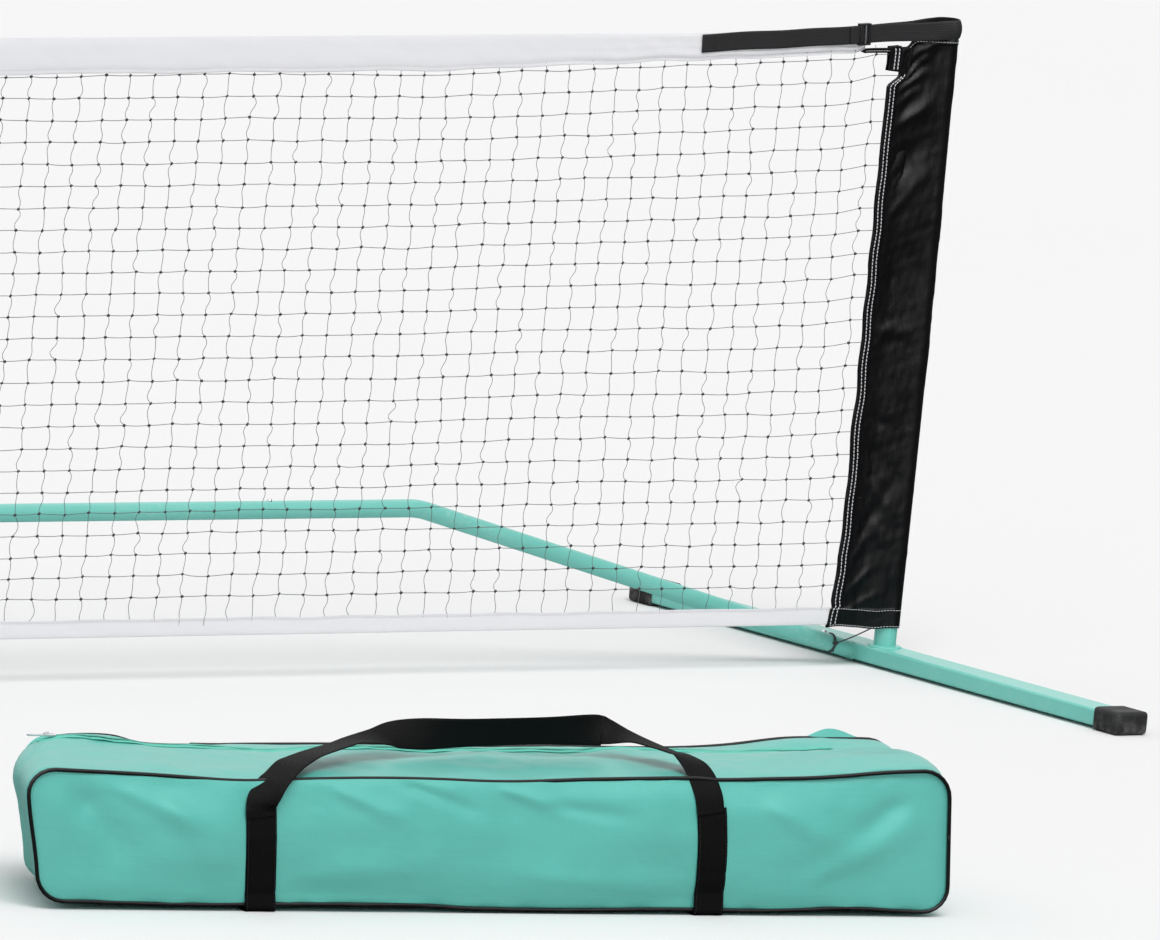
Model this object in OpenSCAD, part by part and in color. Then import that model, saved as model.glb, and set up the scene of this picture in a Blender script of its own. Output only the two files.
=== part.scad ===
// Portable pickleball net with its carry bag.
// Millimetres: X runs along the net, +Y is behind it, +Z is up, and the origin is on
// the ground at the middle of the net.

/* [Net] */
// Distance between the two post axes
net_span = 6706; // [6200:10:7200]
// Height of the headband's top edge at the posts
net_end_height = 914; // [890:1:930]
// Height of the headband's top edge at the middle
net_centre_height = 864; // [840:1:880]
// Height of the hem's lower edge above the ground
hem_lift = 62; // [45:1:70]
// Width of the bottom hem tape
hem_w = 25; // [15:1:40]
// Thickness of the bottom hem
hem_t = 4; // [2:0.5:6]
// Width of the folded headband tape
band_w = 50; // [40:1:60]
// Thickness of the folded headband
band_t = 5; // [3:0.5:8]
// Width that the headband is gathered to at its ends
band_end_w = 30; // [20:1:36]
// Length over which the headband is gathered
band_gather = 750; // [300:10:1200]
// Gaps along the net
net_columns = 49; // [31:2:49]
// Gaps from hem to headband
net_rows = 6; // [3:1:6]
// Width of one strand bundle
strand_w = 4; // [2:0.5:6]
// Thickness of the netting
strand_t = 1.6; // [1:0.2:3]

/* [Feet] */
// Length of an end foot over its caps
foot_length = 1110; // [800:5:1160]
// Length of the centre foot over its caps
centre_foot_length = 620; // [400:5:900]
// Width of the foot tube
foot_tube_w = 50; // [48:1:60]
// Height of the foot tube
foot_tube_h = 25; // [20:1:40]
// Wall of the foot tube
foot_wall = 1.5; // [1:0.1:2.5]
// Outer corner radius of the foot tube
foot_corner_r = 4; // [3:0.5:8]
// Length of a rubber foot cap
cap_length = 52; // [30:1:80]
// Wall of a rubber foot cap
cap_wall = 4; // [3:0.5:6]
// Bevel round the outer end of a foot cap
cap_bevel = 4; // [2:0.5:6]
// Length of the pad under the centre foot
pad_length = 60; // [40:1:90]

/* [Posts] */
// Outer diameter of the posts
post_d = 32; // [28:0.5:38]
// Wall of the posts
post_wall = 1.5; // [1:0.1:2.5]
// Rise of the end post tubes above the headband's top
post_rise = 3; // [1:1:30]
// Diameter of the collar that a post stands on
collar_d = 44; // [42:1:48]
// Thickness of that collar
collar_h = 2.5; // [1.5:0.5:5]
// Height of the spigot inside a post
spigot_h = 70; // [40:1:120]
// Distance from the centre post's upper end to the headband's top
centre_post_drop = 12; // [8:1:20]
// Height of a post cap's head
post_cap_h = 6; // [3:0.5:10]
// Length of a post cap's plug
post_plug_l = 20; // [10:1:30]

/* [Rails] */
// Outer diameter of the bottom rails
rail_d = 25.4; // [22:0.2:30]
// Wall of the bottom rails
rail_wall = 1.2; // [1:0.1:1.6]
// Distance of the rails behind the net
rail_y = 45; // [40:1:60]
// Height of the level rails' axis
rail_h = 229; // [180:1:300]
// Distance from post to the bend of the rail
bend_in = 830; // [600:5:900]
// Radius of the bend at the tube's axis
bend_r = 120; // [80:5:250]
// Level length of the bent rail past its bend
bend_run = 285; // [120:5:320]
// Length of the socket on the foot, seen along the rail
socket_l = 80; // [76:1:120]
// Height of the socket's axis where it meets the foot's side
socket_h = 17; // [16:0.5:19]
// Straight rails on each side
straight_l = 960; // [900:5:1000]
// Length of the narrowed end of a rail
swage_l = 50; // [40:1:80]
// Length of the tee's sleeve on the centre post
tee_l = 96; // [90:1:140]
// Wall of the tee's sleeve
tee_wall = 2.7; // [2:0.1:4]

/* [Spring buttons] */
// Diameter of a button
button_d = 7; // [5:0.5:9]
// Travel of a button
button_travel = 4; // [3:0.2:4.4]
// Distance of a button from its seam
button_in = 24; // [20:1:30]
// Width of the leaf spring
leaf_w = 8; // [7:0.5:10]
// Thickness of the leaf spring
leaf_t = 0.8; // [0.5:0.1:1]
// Length of the leaf past its button, and past the seam
leaf_past = 6; // [5:0.5:8]

/* [Sleeves] */
// Width of the sleeve from post axis to its stitched edge
sleeve_w = 100; // [80:1:130]
// Width of the stitched flat edge
sleeve_flat = 42; // [30:1:50]
// Drop from the headband's top to the sleeve's top hem
sleeve_drop = 15; // [14:1:40]
// Height of the sleeve's bottom hem
sleeve_bottom = 58; // [42:1:66]
// Thickness of one fabric layer
sleeve_t = 1.2; // [0.6:0.1:2]
// Gap between headband end and sleeve
tab_l = 45; // [30:1:60]

/* [Tension straps] */
// Width of the webbing
web_w = 26; // [20:1:28]
// Thickness of the webbing
web_t = 2; // [1:0.2:2.6]
// Distance from post to the strap's sewn end
strap_l = 445; // [300:5:600]
// Rise from the headband's top to the strap's middle at the post
strap_rise = 4; // [2:1:6]
// Rise of the strap towards the post, in degrees
strap_tilt = 3.2; // [2.5:0.1:3.5]
// Distance from post to the buckle
buckle_in = 155; // [145:1:160]
// Width of the buckle along the strap
buckle_w = 20; // [18:1:28]
// Bar thickness of the buckle
buckle_t = 1.5; // [1:0.1:2]
// Diameter of the buckle's metal bar
buckle_bar_d = 2.6; // [2:0.1:3]
// Diameter of the tie cord
tie_d = 2.5; // [1.5:0.1:3]

/* [Centre strap] */
// Width of the centre strap
centre_strap_w = 40; // [25:1:60]

/* [Bag] */
// Length of the bag
bag_l = 1310; // [1000:5:1400]
// Depth of the bag between its two panels
bag_d = 220; // [180:5:260]
// Height of the bag at its panels
bag_h = 181; // [140:1:210]
// Radius of the panels' corners
bag_r = 36; // [24:1:60]
// Crown of the bag between its panels
bag_crown = 9; // [0:1:14]
// Bulge of the front and rear panels
panel_bulge = 13; // [4:1:20]
// Diameter of the piping
piping_d = 5; // [3:0.5:8]
// Middle of the bag's front lower edge along the net
bag_x = 1395; // [1200:5:2200]
// Middle of the bag's front lower edge in front of the net
bag_y = -1616; // [-1900:1:-1000]
// Turn of the bag about the vertical, in degrees
bag_turn = -10; // [-40:1:20]
// Distance of each webbing band from the bag's middle
band_x = 320; // [220:1:400]
// Width of the bag's webbing
bag_web_w = 40; // [25:1:50]
// Thickness of the bag's webbing
bag_web_t = 2.2; // [1:0.1:3]
// Rise of the handles above the panels
handle_rise = 48; // [40:1:90]
// Length of the zip
zip_l = 1160; // [700:10:1200]
// Width of the zip's tape
zip_w = 28; // [20:1:40]
// Distance of the zip from the bag's front edge
zip_y = 164; // [115:1:170]

/* [Hidden] */
$fn = 48;
press = 0.2;                       // clearance of a cap or plug on its tube
slip = 0.3;                        // clearance of sliding and loose fits
far = 3000;                        // size of a cutting block
post_x = net_span / 2;
foot_bottom = cap_wall + press;
foot_top = foot_bottom + foot_tube_h;
post_foot = foot_top + collar_h;
post_top = net_end_height + post_rise;
sleeve_top = net_end_height - sleeve_drop;
strap_h = net_end_height + strap_rise;
post_in_d = post_d - 2 * post_wall;
net_end = post_x - sleeve_w;
band_end = net_end - tab_l;
hem_top = hem_lift + hem_w;
rail_in_d = rail_d - 2 * rail_wall;
swage_d = rail_in_d - 2 * slip;
swage_in_d = swage_d - 2 * rail_wall;
// The socket's axis rises from beside the post to the bend
socket_x = post_x - foot_tube_w / 2;
socket_z = socket_h;
bend_x = post_x - bend_in;
rail_angle = atan((rail_h - socket_z) / (socket_x - bend_x));
bend_tangent = bend_r * tan(rail_angle / 2);
incline_l = (socket_x - bend_x) / cos(rail_angle);
// Seams between the level rails, counted from the post
seam_x = [bend_x - bend_run, bend_x - bend_run - straight_l, bend_x - bend_run - 2 * straight_l];
tee_d = post_d + 2 * slip + 2 * tee_wall;
tee_button_z = rail_h + (rail_d + tee_l / 2) / 2;
centre_post_top = net_centre_height - centre_post_drop;
leaf_in = 1.4;                     // distance of a leaf spring's moving leg from the tube's wall
shoulder_l = 3;                    // full-width length of a rail's narrowed end
cap_arm_w = 24;                    // width of the centre cap's arm
tab_t = 3;                         // thickness of the corner tab
tab_h = 14;                        // height of the corner tab at the headband
patch_w = 16;                      // the patch that holds the tab
patch_h = 40;
patch_t = 1.6;
web_slip = 0.4;                    // clearance of the webbing's edges in its buckle
buckle_over = 2.5;                 // reach of the buckle past the webbing's edges
buckle_rim = 4;
buckle_h = web_w + 2 * buckle_over;
buckle_gap = web_w + 2 * web_slip;
slider_in = 16;                    // distance of the zip slider from the zip's end
slider_l = 14;
slider_w = 10;
slider_h = 3;
pull_l = 23.5;
pull_w = 8;
pull_t = 1.6;
zip_t = 0.8;                       // thickness of the zip's tape
teeth_w = 6;                       // width and height of the zip's teeth
teeth_h = 1.2;
bag_z0 = bag_web_t + piping_d / 2;
bag_top = bag_h + bag_crown;
piping_y = 0.66 * piping_d;        // distance of the piping in front of its panel's edge
band_in = piping_y + piping_d / 2 + slip;
band_past = 2.5;                   // how far the bands reach above the panels
band_top = bag_h + band_past;
handle_short = 1.5;                // how far each handle stops short of the bag's middle
fork_past = 16;                    // length of the double layer past each side of the buckle
flat_ring = 60;                    // rings drawn in by more than this have half the corner radius
handle_lean = atan(handle_rise / (bag_d / 2 + band_in));
hang_lean = 3;                     // degrees by which the hanging rear handle stands off
hang_y = bag_d + panel_bulge + 1 + bag_web_t + 2 * slip;
crown_drop = 0.3 * bag_crown;      // fall of the bag's top from its middle to 0.85 of its depth
zip_fall = atan(crown_drop / (0.35 * bag_d));
zip_lift = 0.1;                    // the zip lies just clear of the cloth
zip_z = bag_top + zip_lift - crown_drop * (zip_y - 0.5 * bag_d) / (0.35 * bag_d);
bend_lap = 0.5;                    // degrees by which the bend runs over the straight tubes

// Height of the headband's top edge
function top_z(x) = net_end_height - (net_end_height - net_centre_height) * (1 - abs(x) / post_x);
// Width of the headband, gathered towards its ends
function band_width(x) = abs(x) < band_end - band_gather ? band_w
    : band_end_w + (band_w - band_end_w) * (band_end - min(abs(x), band_end)) / band_gather;
// Height of the headband's lower edge, which runs on level past its end
function band_z(x) = abs(x) > band_end ? top_z(band_end) - band_end_w : top_z(x) - band_width(x);
// Height of the net's row line, where 0 is the hem and net_rows the headband
function row_z(x, row) = hem_top + (band_z(x) - hem_top) * row / net_rows;
// Point just inside where a line from p touches a circle of radius r about the origin, on side s
function touch(p, r, s) = let (turn = atan2(p.y, p.x) + s * acos(r / norm(p)))
    0.999 * [r * cos(turn), r * sin(turn)];

teal = [0.36, 0.80, 0.72];

// Draws the right-hand piece, or its mirror image on the left
module on_side(side) {
    if (side > 0) children();
    else mirror([1, 0, 0]) children();
}

module rounded_rect(w, h, r) {
    square([w - 2 * r, h], center = true);
    square([w, h - 2 * r], center = true);
    for (x = [-1, 1], y = [-1, 1]) translate([x * (w / 2 - r), y * (h / 2 - r)]) circle(r);
}

// Round tube along +X from x0 to x1
module tube_x(d, d_in, x0, x1) {
    translate([x0, 0, 0]) rotate([0, 90, 0]) linear_extrude(x1 - x0) difference() {
        circle(d = d);
        circle(d = d_in);
    }
}

// Cylinder between two points
module rod(p, q, d) {
    v = q - p;
    translate(p) rotate([0, acos(v.z / norm(v)), atan2(v.y, v.x)]) cylinder(h = norm(v), d = d);
}

// Flat solid drawn in X and Z, with its thickness centred on the net
module upright(t) {
    rotate([90, 0, 0]) linear_extrude(t, center = true) children();
}

// ---- Feet ----

module foot_tube(length) {
    translate([0, 0, foot_bottom + foot_tube_h / 2]) rotate([90, 0, 0])
        linear_extrude(length - 2 * cap_wall, center = true) difference() {
            rounded_rect(foot_tube_w, foot_tube_h, foot_corner_r);
            rounded_rect(foot_tube_w - 2 * foot_wall, foot_tube_h - 2 * foot_wall, foot_corner_r - foot_wall);
        }
}

// Collar and spigot that a post stands on
module post_seat() {
    spigot_d = post_in_d - 2 * slip;
    translate([0, 0, foot_top]) cylinder(h = collar_h, d = collar_d);
    translate([0, 0, post_foot]) linear_extrude(spigot_h) difference() {
        circle(d = spigot_d);
        circle(d = spigot_d - 2 * post_wall);
    }
}

// Frame of the socket's mouth, with +X pointing down towards the post
module at_socket() {
    translate([socket_x, rail_y, socket_z]) rotate([0, rail_angle, 0]) translate([-socket_l, 0, 0]) children();
}

module button_hole(r) {
    translate([button_in, 0, 0]) cylinder(h = r + 5, d = button_d + 2 * slip);
}

module rail_socket() {
    difference() {
        intersection() {
            at_socket() {
                tube_x(rail_d, rail_in_d, 0, socket_l + rail_d / 2);
            }
            translate([socket_x + foot_wall / 2 - far, -far / 2, -far / 2]) cube(far);
        }
        at_socket() button_hole(rail_d / 2);
    }
}

module foot(side) {
    color(teal) on_side(side) {
        translate([post_x, 0, 0]) {
            foot_tube(foot_length);
            post_seat();
        }
        rail_socket();
    }
}

module centre_foot() {
    color(teal) {
        foot_tube(centre_foot_length);
        translate([0, rail_y, 0]) post_seat();
    }
}

// Boxy rubber cap on the end of a foot, bevelled round its outer end
module foot_cap(x, length, end) {
    w = foot_tube_w + 2 * (press + cap_wall);
    h = foot_tube_h + 2 * (press + cap_wall);
    color([0.16, 0.17, 0.17]) translate([x, end * length / 2, h / 2]) rotate([end > 0 ? 90 : -90, 0, 0])
        difference() {
            hull() {
                translate([0, 0, cap_bevel]) linear_extrude(cap_length - cap_bevel) square([w, h], center = true);
                linear_extrude(cap_bevel) square([w - 2 * cap_bevel, h - 2 * cap_bevel], center = true);
            }
            translate([0, 0, cap_wall + cap_length / 2])
                cube([foot_tube_w + 2 * press, foot_tube_h + 2 * press, cap_length], center = true);
        }
}

module centre_pad() {
    color([0.16, 0.17, 0.17]) translate([0, 0, foot_bottom / 2])
        cube([foot_tube_w - 2 * foot_corner_r, pad_length, foot_bottom], center = true);
}

// ---- Posts ----

module post_tube(bottom, top) {
    translate([0, 0, bottom]) linear_extrude(top - bottom) difference() {
        circle(d = post_d);
        circle(d = post_in_d);
    }
}

module post(side) {
    color(teal) on_side(side) translate([post_x, 0, 0]) post_tube(post_foot, post_top);
}

module centre_post() {
    color(teal) translate([0, rail_y, 0]) difference() {
        post_tube(post_foot, centre_post_top);
        translate([0, 0, tee_button_z]) rotate([-90, 0, 0]) cylinder(h = post_d, d = button_d + 2 * slip);
    }
}

// Plastic cap with a rounded head and a plug inside the tube
module cap_on_post(z) {
    edge = post_cap_h / 2;
    translate([0, 0, z]) {
        rotate_extrude() {
            square([post_d / 2 - edge + 0.5, post_cap_h]);
            square([post_d / 2 + 0.5, post_cap_h - edge]);
            translate([post_d / 2 - edge + 0.5, post_cap_h - edge]) intersection() {
                circle(edge);
                square(edge);
            }
        }
        translate([0, 0, -post_plug_l]) cylinder(h = post_plug_l, d = post_in_d - 2 * press);
    }
}

module post_cap(side) {
    color([0.12, 0.12, 0.13]) on_side(side) translate([post_x, 0, 0]) cap_on_post(post_top);
}

// The centre cap has an arm that reaches forward to the strap round the headband
module centre_post_cap() {
    arm_front = band_t / 2 + slip + web_t + slip;
    color([0.12, 0.12, 0.13]) {
        translate([0, rail_y, 0]) cap_on_post(centre_post_top);
        translate([-cap_arm_w / 2, arm_front, centre_post_top]) cube([cap_arm_w, rail_y - arm_front, post_cap_h - 1]);
    }
}

// ---- Rails ----

// Narrowed end that plugs into the next tube, with its shoulder behind the seam at x = 0
module swaged_end() {
    difference() {
        union() {
            tube_x(swage_d, swage_in_d, -shoulder_l, swage_l);
            tube_x(rail_d, swage_in_d, -shoulder_l, 0);
        }
        button_hole(swage_d / 2);
    }
}

// Open end at x = x0 that takes a narrowed end, drilled for its button
module tube_with_hole(x0, x1) {
    difference() {
        tube_x(rail_d, rail_in_d, x0, x1);
        translate([x0, 0, 0]) button_hole(rail_d / 2);
    }
}

module bent_rail(side) {
    color(teal) on_side(side) {
        at_socket() {
            swaged_end();
            tube_x(rail_d, rail_in_d, -(incline_l - socket_l - bend_tangent), -shoulder_l);
        }
        translate([bend_x - bend_tangent, rail_y, rail_h - bend_r]) rotate([90, 0, 0])
            rotate([0, 0, 90 - rail_angle - bend_lap]) rotate_extrude(angle = rail_angle + 2 * bend_lap)
                translate([bend_r, 0]) difference() {
                    circle(d = rail_d + 0.1);
                    circle(d = rail_in_d - 0.1);
                }
        translate([0, rail_y, rail_h]) tube_with_hole(seam_x[0], bend_x - bend_tangent);
    }
}

// Straight rail whose narrowed end is at the given seam
module straight_rail(side, seam) {
    color(teal) on_side(side) translate([seam, rail_y, rail_h]) {
        swaged_end();
        tube_with_hole(-straight_l, -shoulder_l);
    }
}

// Sleeve on the centre post with an arm to each side
module rail_tee() {
    arm = seam_x[2];
    color(teal) translate([0, rail_y, rail_h]) difference() {
        union() {
            cylinder(h = tee_l, d = tee_d, center = true);
            for (side = [1, -1]) on_side(side) {
                difference() {
                    union() {
                        tube_x(rail_d, swage_in_d, 0, arm);
                        tube_x(swage_d, swage_in_d, arm - 1, arm + swage_l);
                    }
                    translate([arm, 0, 0]) button_hole(rail_d / 2);
                }
            }
        }
        cylinder(h = tee_l + 1, d = post_d + 2 * slip, center = true);
        translate([0, 0, tee_button_z - rail_h]) rotate([-90, 0, 0]) cylinder(h = tee_d, d = button_d + 2 * slip);
    }
}

// ---- Spring buttons ----

// Button on the moving leg of its leaf spring, for a hole with the given inner and outer radius
module snap_button(r_in, r_out) {
    leaf_top = r_in - leaf_in;
    color("silver") {
        translate([-leaf_past, -leaf_w / 2, leaf_top - leaf_t]) cube([button_in + 2 * leaf_past, leaf_w, leaf_t]);
        translate([button_in, 0, leaf_top - leaf_t / 2]) {
            cylinder(h = r_out - leaf_top + leaf_t / 2, d = button_d);
            translate([0, 0, r_out - leaf_top + leaf_t / 2]) sphere(d = button_d);
        }
    }
}

// Fixed leg of the leaf spring and its bend, which stops short of the moving leg's travel
module spring_leg(r_in) {
    low = -(r_in - leaf_in + 0.2);
    high = r_in - leaf_in - leaf_t - button_travel - 2 * slip;
    translate([-leaf_past, -leaf_w / 2, low]) cube([button_in + 2 * leaf_past, leaf_w, leaf_t]);
    translate([-leaf_past, 0, (low + high) / 2]) rotate([90, 0, 0]) linear_extrude(leaf_w, center = true)
        difference() {
            circle((high - low) / 2);
            circle((high - low) / 2 - leaf_t);
            translate([0, -r_in]) square(2 * r_in);
        }
}

module at_seam(k) {
    translate([seam_x[k], rail_y, rail_h]) children();
}

// Frame on the centre post with +X up the post and +Z to the rear
module at_tee_button() {
    translate([0, rail_y, tee_button_z - button_in]) rotate([0, -90, -90]) children();
}

module socket_button(side) {
    on_side(side) at_socket() snap_button(swage_in_d / 2, rail_d / 2);
}

module seam_button(side, k) {
    on_side(side) at_seam(k) snap_button(swage_in_d / 2, rail_d / 2);
}

module centre_post_button() {
    at_tee_button() snap_button(post_in_d / 2, tee_d / 2);
}

module button_springs() {
    color("silver") {
        for (side = [1, -1]) on_side(side) {
            at_socket() spring_leg(swage_in_d / 2);
            for (k = [0:2]) at_seam(k) spring_leg(swage_in_d / 2);
        }
        at_tee_button() spring_leg(post_in_d / 2);
    }
}

// ---- Net ----

module netting() {
    cell = (2 * net_end - 2 * strand_w) / net_columns;
    start = -net_end + strand_w;
    color([0.25, 0.25, 0.27]) upright(strand_t) difference() {
        polygon([[-net_end, hem_top], [net_end, hem_top], [net_end, band_z(net_end)], [band_end, band_z(band_end)],
            [band_end - band_gather, band_z(band_end - band_gather)], [0, band_z(0)],
            [band_gather - band_end, band_z(band_end - band_gather)], [-band_end, band_z(band_end)],
            [-net_end, band_z(net_end)]]);
        for (c = [0:net_columns - 1], r = [0:net_rows - 1]) {
            x0 = start + c * cell + (c > 0 ? strand_w / 2 : 0);
            x1 = start + (c + 1) * cell - (c < net_columns - 1 ? strand_w / 2 : 0);
            low = r > 0 ? strand_w / 2 : -strand_w;
            high = r < net_rows - 1 ? -strand_w / 2 : strand_w;
            polygon([[x0, row_z(x0, r) + low], [x1, row_z(x1, r) + low],
                [x1, row_z(x1, r + 1) + high], [x0, row_z(x0, r + 1) + high]]);
        }
    }
}

module headband() {
    knee = band_end - band_gather;
    color([0.93, 0.93, 0.96]) upright(band_t) polygon([
        [-band_end, band_z(band_end)], [-knee, band_z(knee)], [0, band_z(0)], [knee, band_z(knee)],
        [band_end, band_z(band_end)], [band_end, top_z(band_end)], [0, top_z(0)], [-band_end, top_z(band_end)]]);
}

module bottom_hem() {
    color([0.93, 0.93, 0.93]) upright(hem_t) translate([-net_end, hem_lift]) square([2 * net_end, hem_w]);
}

// Drop-shaped block of height h: a cylinder about the post drawn out to a flat end of half thickness t
module drop(h, r, reach, t, mid = 0) {
    a = [-reach, mid + t];
    b = [-reach, mid - t];
    cylinder(h = h, r = r);
    linear_extrude(h) polygon([a, touch(a, r, -1), [0, 0], touch(b, r, 1), b]);
}

// Fabric sleeve: one layer round the post, sewn flat to the net
module sleeve(side) {
    inner = post_d / 2 + slip + 0.05;
    h = sleeve_top - sleeve_bottom;
    color([0.07, 0.07, 0.08]) on_side(side) translate([post_x, 0, sleeve_bottom]) difference() {
        union() {
            drop(h, inner + sleeve_t, sleeve_w - sleeve_flat, sleeve_t);
            translate([-sleeve_w, -sleeve_t, 0]) cube([sleeve_flat + 2, 2 * sleeve_t, h]);
        }
        translate([0, 0, -1]) drop(h + 2, inner, sleeve_w - sleeve_flat - 4, 0.1);
    }
}

// Black tab from the headband's end to the sleeve, and the patch that holds it
module corner_tab(side) {
    tab_low = band_z(band_end);
    color([0.07, 0.07, 0.08]) on_side(side) {
        upright(tab_t) polygon([[band_end, tab_low], [net_end, min(tab_low, sleeve_top - tab_t)],
            [net_end, sleeve_top], [band_end, tab_low + tab_h]]);
        translate([net_end - 1, -sleeve_t - press - patch_t, sleeve_top - patch_h]) cube([patch_w, patch_t, patch_h]);
        translate([net_end - 1, -sleeve_t - press - patch_t, min(tab_low, sleeve_top - tab_t)])
            cube([1, sleeve_t + press + patch_t, sleeve_top - min(tab_low, sleeve_top - tab_t)]);
    }
}

// ---- Tension straps ----

strap_y = -(band_t / 2 + slip + buckle_t + slip + web_t); // seam between the two strap layers
loop_in = post_d / 2 + 1.2;

// Frame of the strap, with its origin on the post axis
module at_strap() {
    translate([post_x, 0, strap_h]) rotate([0, -strap_tilt, 0]) children();
}

module strap(side) {
    fork = buckle_in - buckle_w / 2 - fork_past;
    double_end = buckle_in + buckle_w / 2 + fork_past;
    sewn_y = -(band_t / 2 + slip);
    color([0.05, 0.05, 0.05]) on_side(side) at_strap() translate([0, 0, -web_w / 2]) {
        difference() {
            drop(web_w, loop_in + web_t, fork, web_t, strap_y);
            translate([0, 0, -1]) drop(web_w + 2, loop_in, fork - 6, 0.1, strap_y);
        }
        translate([-double_end, strap_y - web_t, 0]) cube([double_end - fork + 2, 2 * web_t, web_w]);
        linear_extrude(web_w) polygon([[1 - double_end, strap_y + web_t], [1 - double_end, strap_y],
            [-strap_l, sewn_y - web_t], [-strap_l, sewn_y]]);
    }
}

// Slide buckle: a flat ring round both layers of webbing, open in front
module buckle(side) {
    back = strap_y + web_t + slip;
    front = strap_y - web_t - slip;
    color([0.1, 0.1, 0.1]) on_side(side) at_strap() translate([-buckle_in, 0, 0]) difference() {
        translate([-buckle_w / 2, front - buckle_t, -buckle_h / 2])
            cube([buckle_w, back - front + 2 * buckle_t, buckle_h]);
        translate([-buckle_w, front, -buckle_gap / 2]) cube([2 * buckle_w, back - front, buckle_gap]);
        translate([-buckle_w / 2 + buckle_rim, front - 2 * buckle_t, -buckle_gap / 2])
            cube([buckle_w - 2 * buckle_rim, 3 * buckle_t, buckle_gap]);
    }
}

module buckle_bar(side) {
    front = strap_y - web_t - slip;
    color("silver") on_side(side) at_strap() translate([-buckle_in, front - buckle_bar_d / 2, -buckle_gap / 2])
        cylinder(h = buckle_gap, d = buckle_bar_d);
}

// Cord from the sleeve's lower corner to a loop round the rail socket
module tie_cord(side) {
    loop_r = rail_d / 2 + tie_d / 2 + 0.1;
    loop_at = 0.45 * socket_l;
    start = [post_x - post_d / 2 - 4, 0, sleeve_bottom - tie_d / 2 - 0.1];
    end = [socket_x - (socket_l - loop_at) * cos(rail_angle), rail_y - loop_r,
        socket_z + (socket_l - loop_at) * sin(rail_angle)];
    // the cord runs level until it is clear of the sleeve's lower edge, then rises
    bend = [(start.x + end.x) / 2, 0.45 * end.y, start.z];
    color([0.2, 0.22, 0.22]) on_side(side) {
        at_socket() translate([loop_at, 0, 0]) rotate([0, 90, 0]) rotate_extrude() translate([loop_r, 0]) circle(d = tie_d);
        rod(start, bend, 0.9 * tie_d);
        rod(bend, end, 0.9 * tie_d);
        translate(bend) sphere(d = 1.1 * tie_d);
    }
}

// Strap round the headband that the centre cap's arm holds
module centre_strap() {
    half = band_t / 2 + slip;
    high = net_centre_height + slip + 0.3;
    low = net_centre_height - band_w - 1;
    color([0.95, 0.95, 0.95]) rotate([90, 0, 90]) linear_extrude(centre_strap_w, center = true) difference() {
        translate([0, (high + low) / 2]) rounded_rect(2 * (half + web_t), high - low + 2 * web_t, 2.2);
        translate([-half, low]) square([2 * half, high - low]);
    }
}

// ---- Bag ----

module at_bag() {
    translate([bag_x, bag_y, 0]) rotate([0, 0, bag_turn]) children();
}

// Rounded panel outline as points in X and Z
function panel_outline(half, low, high, r) = [
    for (q = [0:3], k = [0:7]) let (turn = q * 90 + k * 90 / 7,
        cx = q == 0 || q == 3 ? half - r : r - half, cz = q < 2 ? high - r : low + r)
        [cx + r * cos(turn), cz + r * sin(turn)]];

// Rings from the front panel to the rear one: depth, growth of the outline, crown
bag_rings = [
    [-panel_bulge, -110, 0], [-0.75 * panel_bulge, -45, 0], [0, 0, 0], [0.15 * bag_d, 4, 0.7],
    [0.5 * bag_d, 6, 1], [0.85 * bag_d, 4, 0.7], [bag_d, 0, 0],
    [bag_d + 0.75 * panel_bulge, -45, 0], [bag_d + panel_bulge, -110, 0]];
bag_outlines = [for (ring = bag_rings) let (grow = ring[1], shrink = max(0, -grow))
    [for (p = panel_outline(bag_l / 2 + grow, bag_z0 + 0.45 * shrink,
        bag_h - 0.45 * shrink + bag_crown * ring[2], bag_r * (shrink > flat_ring ? 0.5 : 1))) [p.x, ring[0], p.y]]];

module bag_shell() {
    n = len(bag_outlines[0]);
    last = len(bag_rings) - 1;
    color(teal) at_bag() polyhedron(
        points = [for (ring = bag_outlines) each ring],
        faces = concat(
            [[for (k = [n - 1:-1:0]) k]],
            [for (j = [0:last - 1], k = [0:n - 1]) [j * n + k, j * n + (k + 1) % n, (j + 1) * n + (k + 1) % n]],
            [for (j = [0:last - 1], k = [0:n - 1]) [j * n + k, (j + 1) * n + (k + 1) % n, (j + 1) * n + k]],
            [[for (k = [0:n - 1]) last * n + k]]),
        convexity = 2);
}

// Piping round the edge of each panel
module bag_piping() {
    half = bag_l / 2;
    low = bag_web_t + 0.1 + piping_d / 2;
    high = bag_h;
    color([0.06, 0.06, 0.06]) at_bag() for (y = [-piping_y, bag_d + piping_y]) {
        for (x = [-1, 1]) rod([x * half, y, low + bag_r], [x * half, y, high - bag_r], piping_d);
        for (z = [low, high]) rod([bag_r - half, y, z], [half - bag_r, y, z], piping_d);
        for (x = [0, 1], z = [0, 1])
            translate([(x ? 1 : -1) * (half - bag_r), y, z ? high - bag_r : low + bag_r]) rotate([90, 0, 0])
                rotate([0, 0, x ? (z ? 0 : 270) : (z ? 90 : 180)])
                    rotate_extrude(angle = 90) translate([bag_r, 0]) circle(d = piping_d);
    }
}

// One side of a webbing band in depth and height, from the bag's underside up the front panel
function band_side(off) = [
    [-band_in - off, bag_web_t - off], [-0.75 * panel_bulge - 1 - off, 0.13 * bag_h],
    [-panel_bulge - 1 - off, 0.3 * bag_h], [-panel_bulge - 1 - off, 0.7 * bag_h],
    [-0.75 * panel_bulge - 1 - off, 0.87 * bag_h], [-band_in - off, band_top]];

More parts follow.
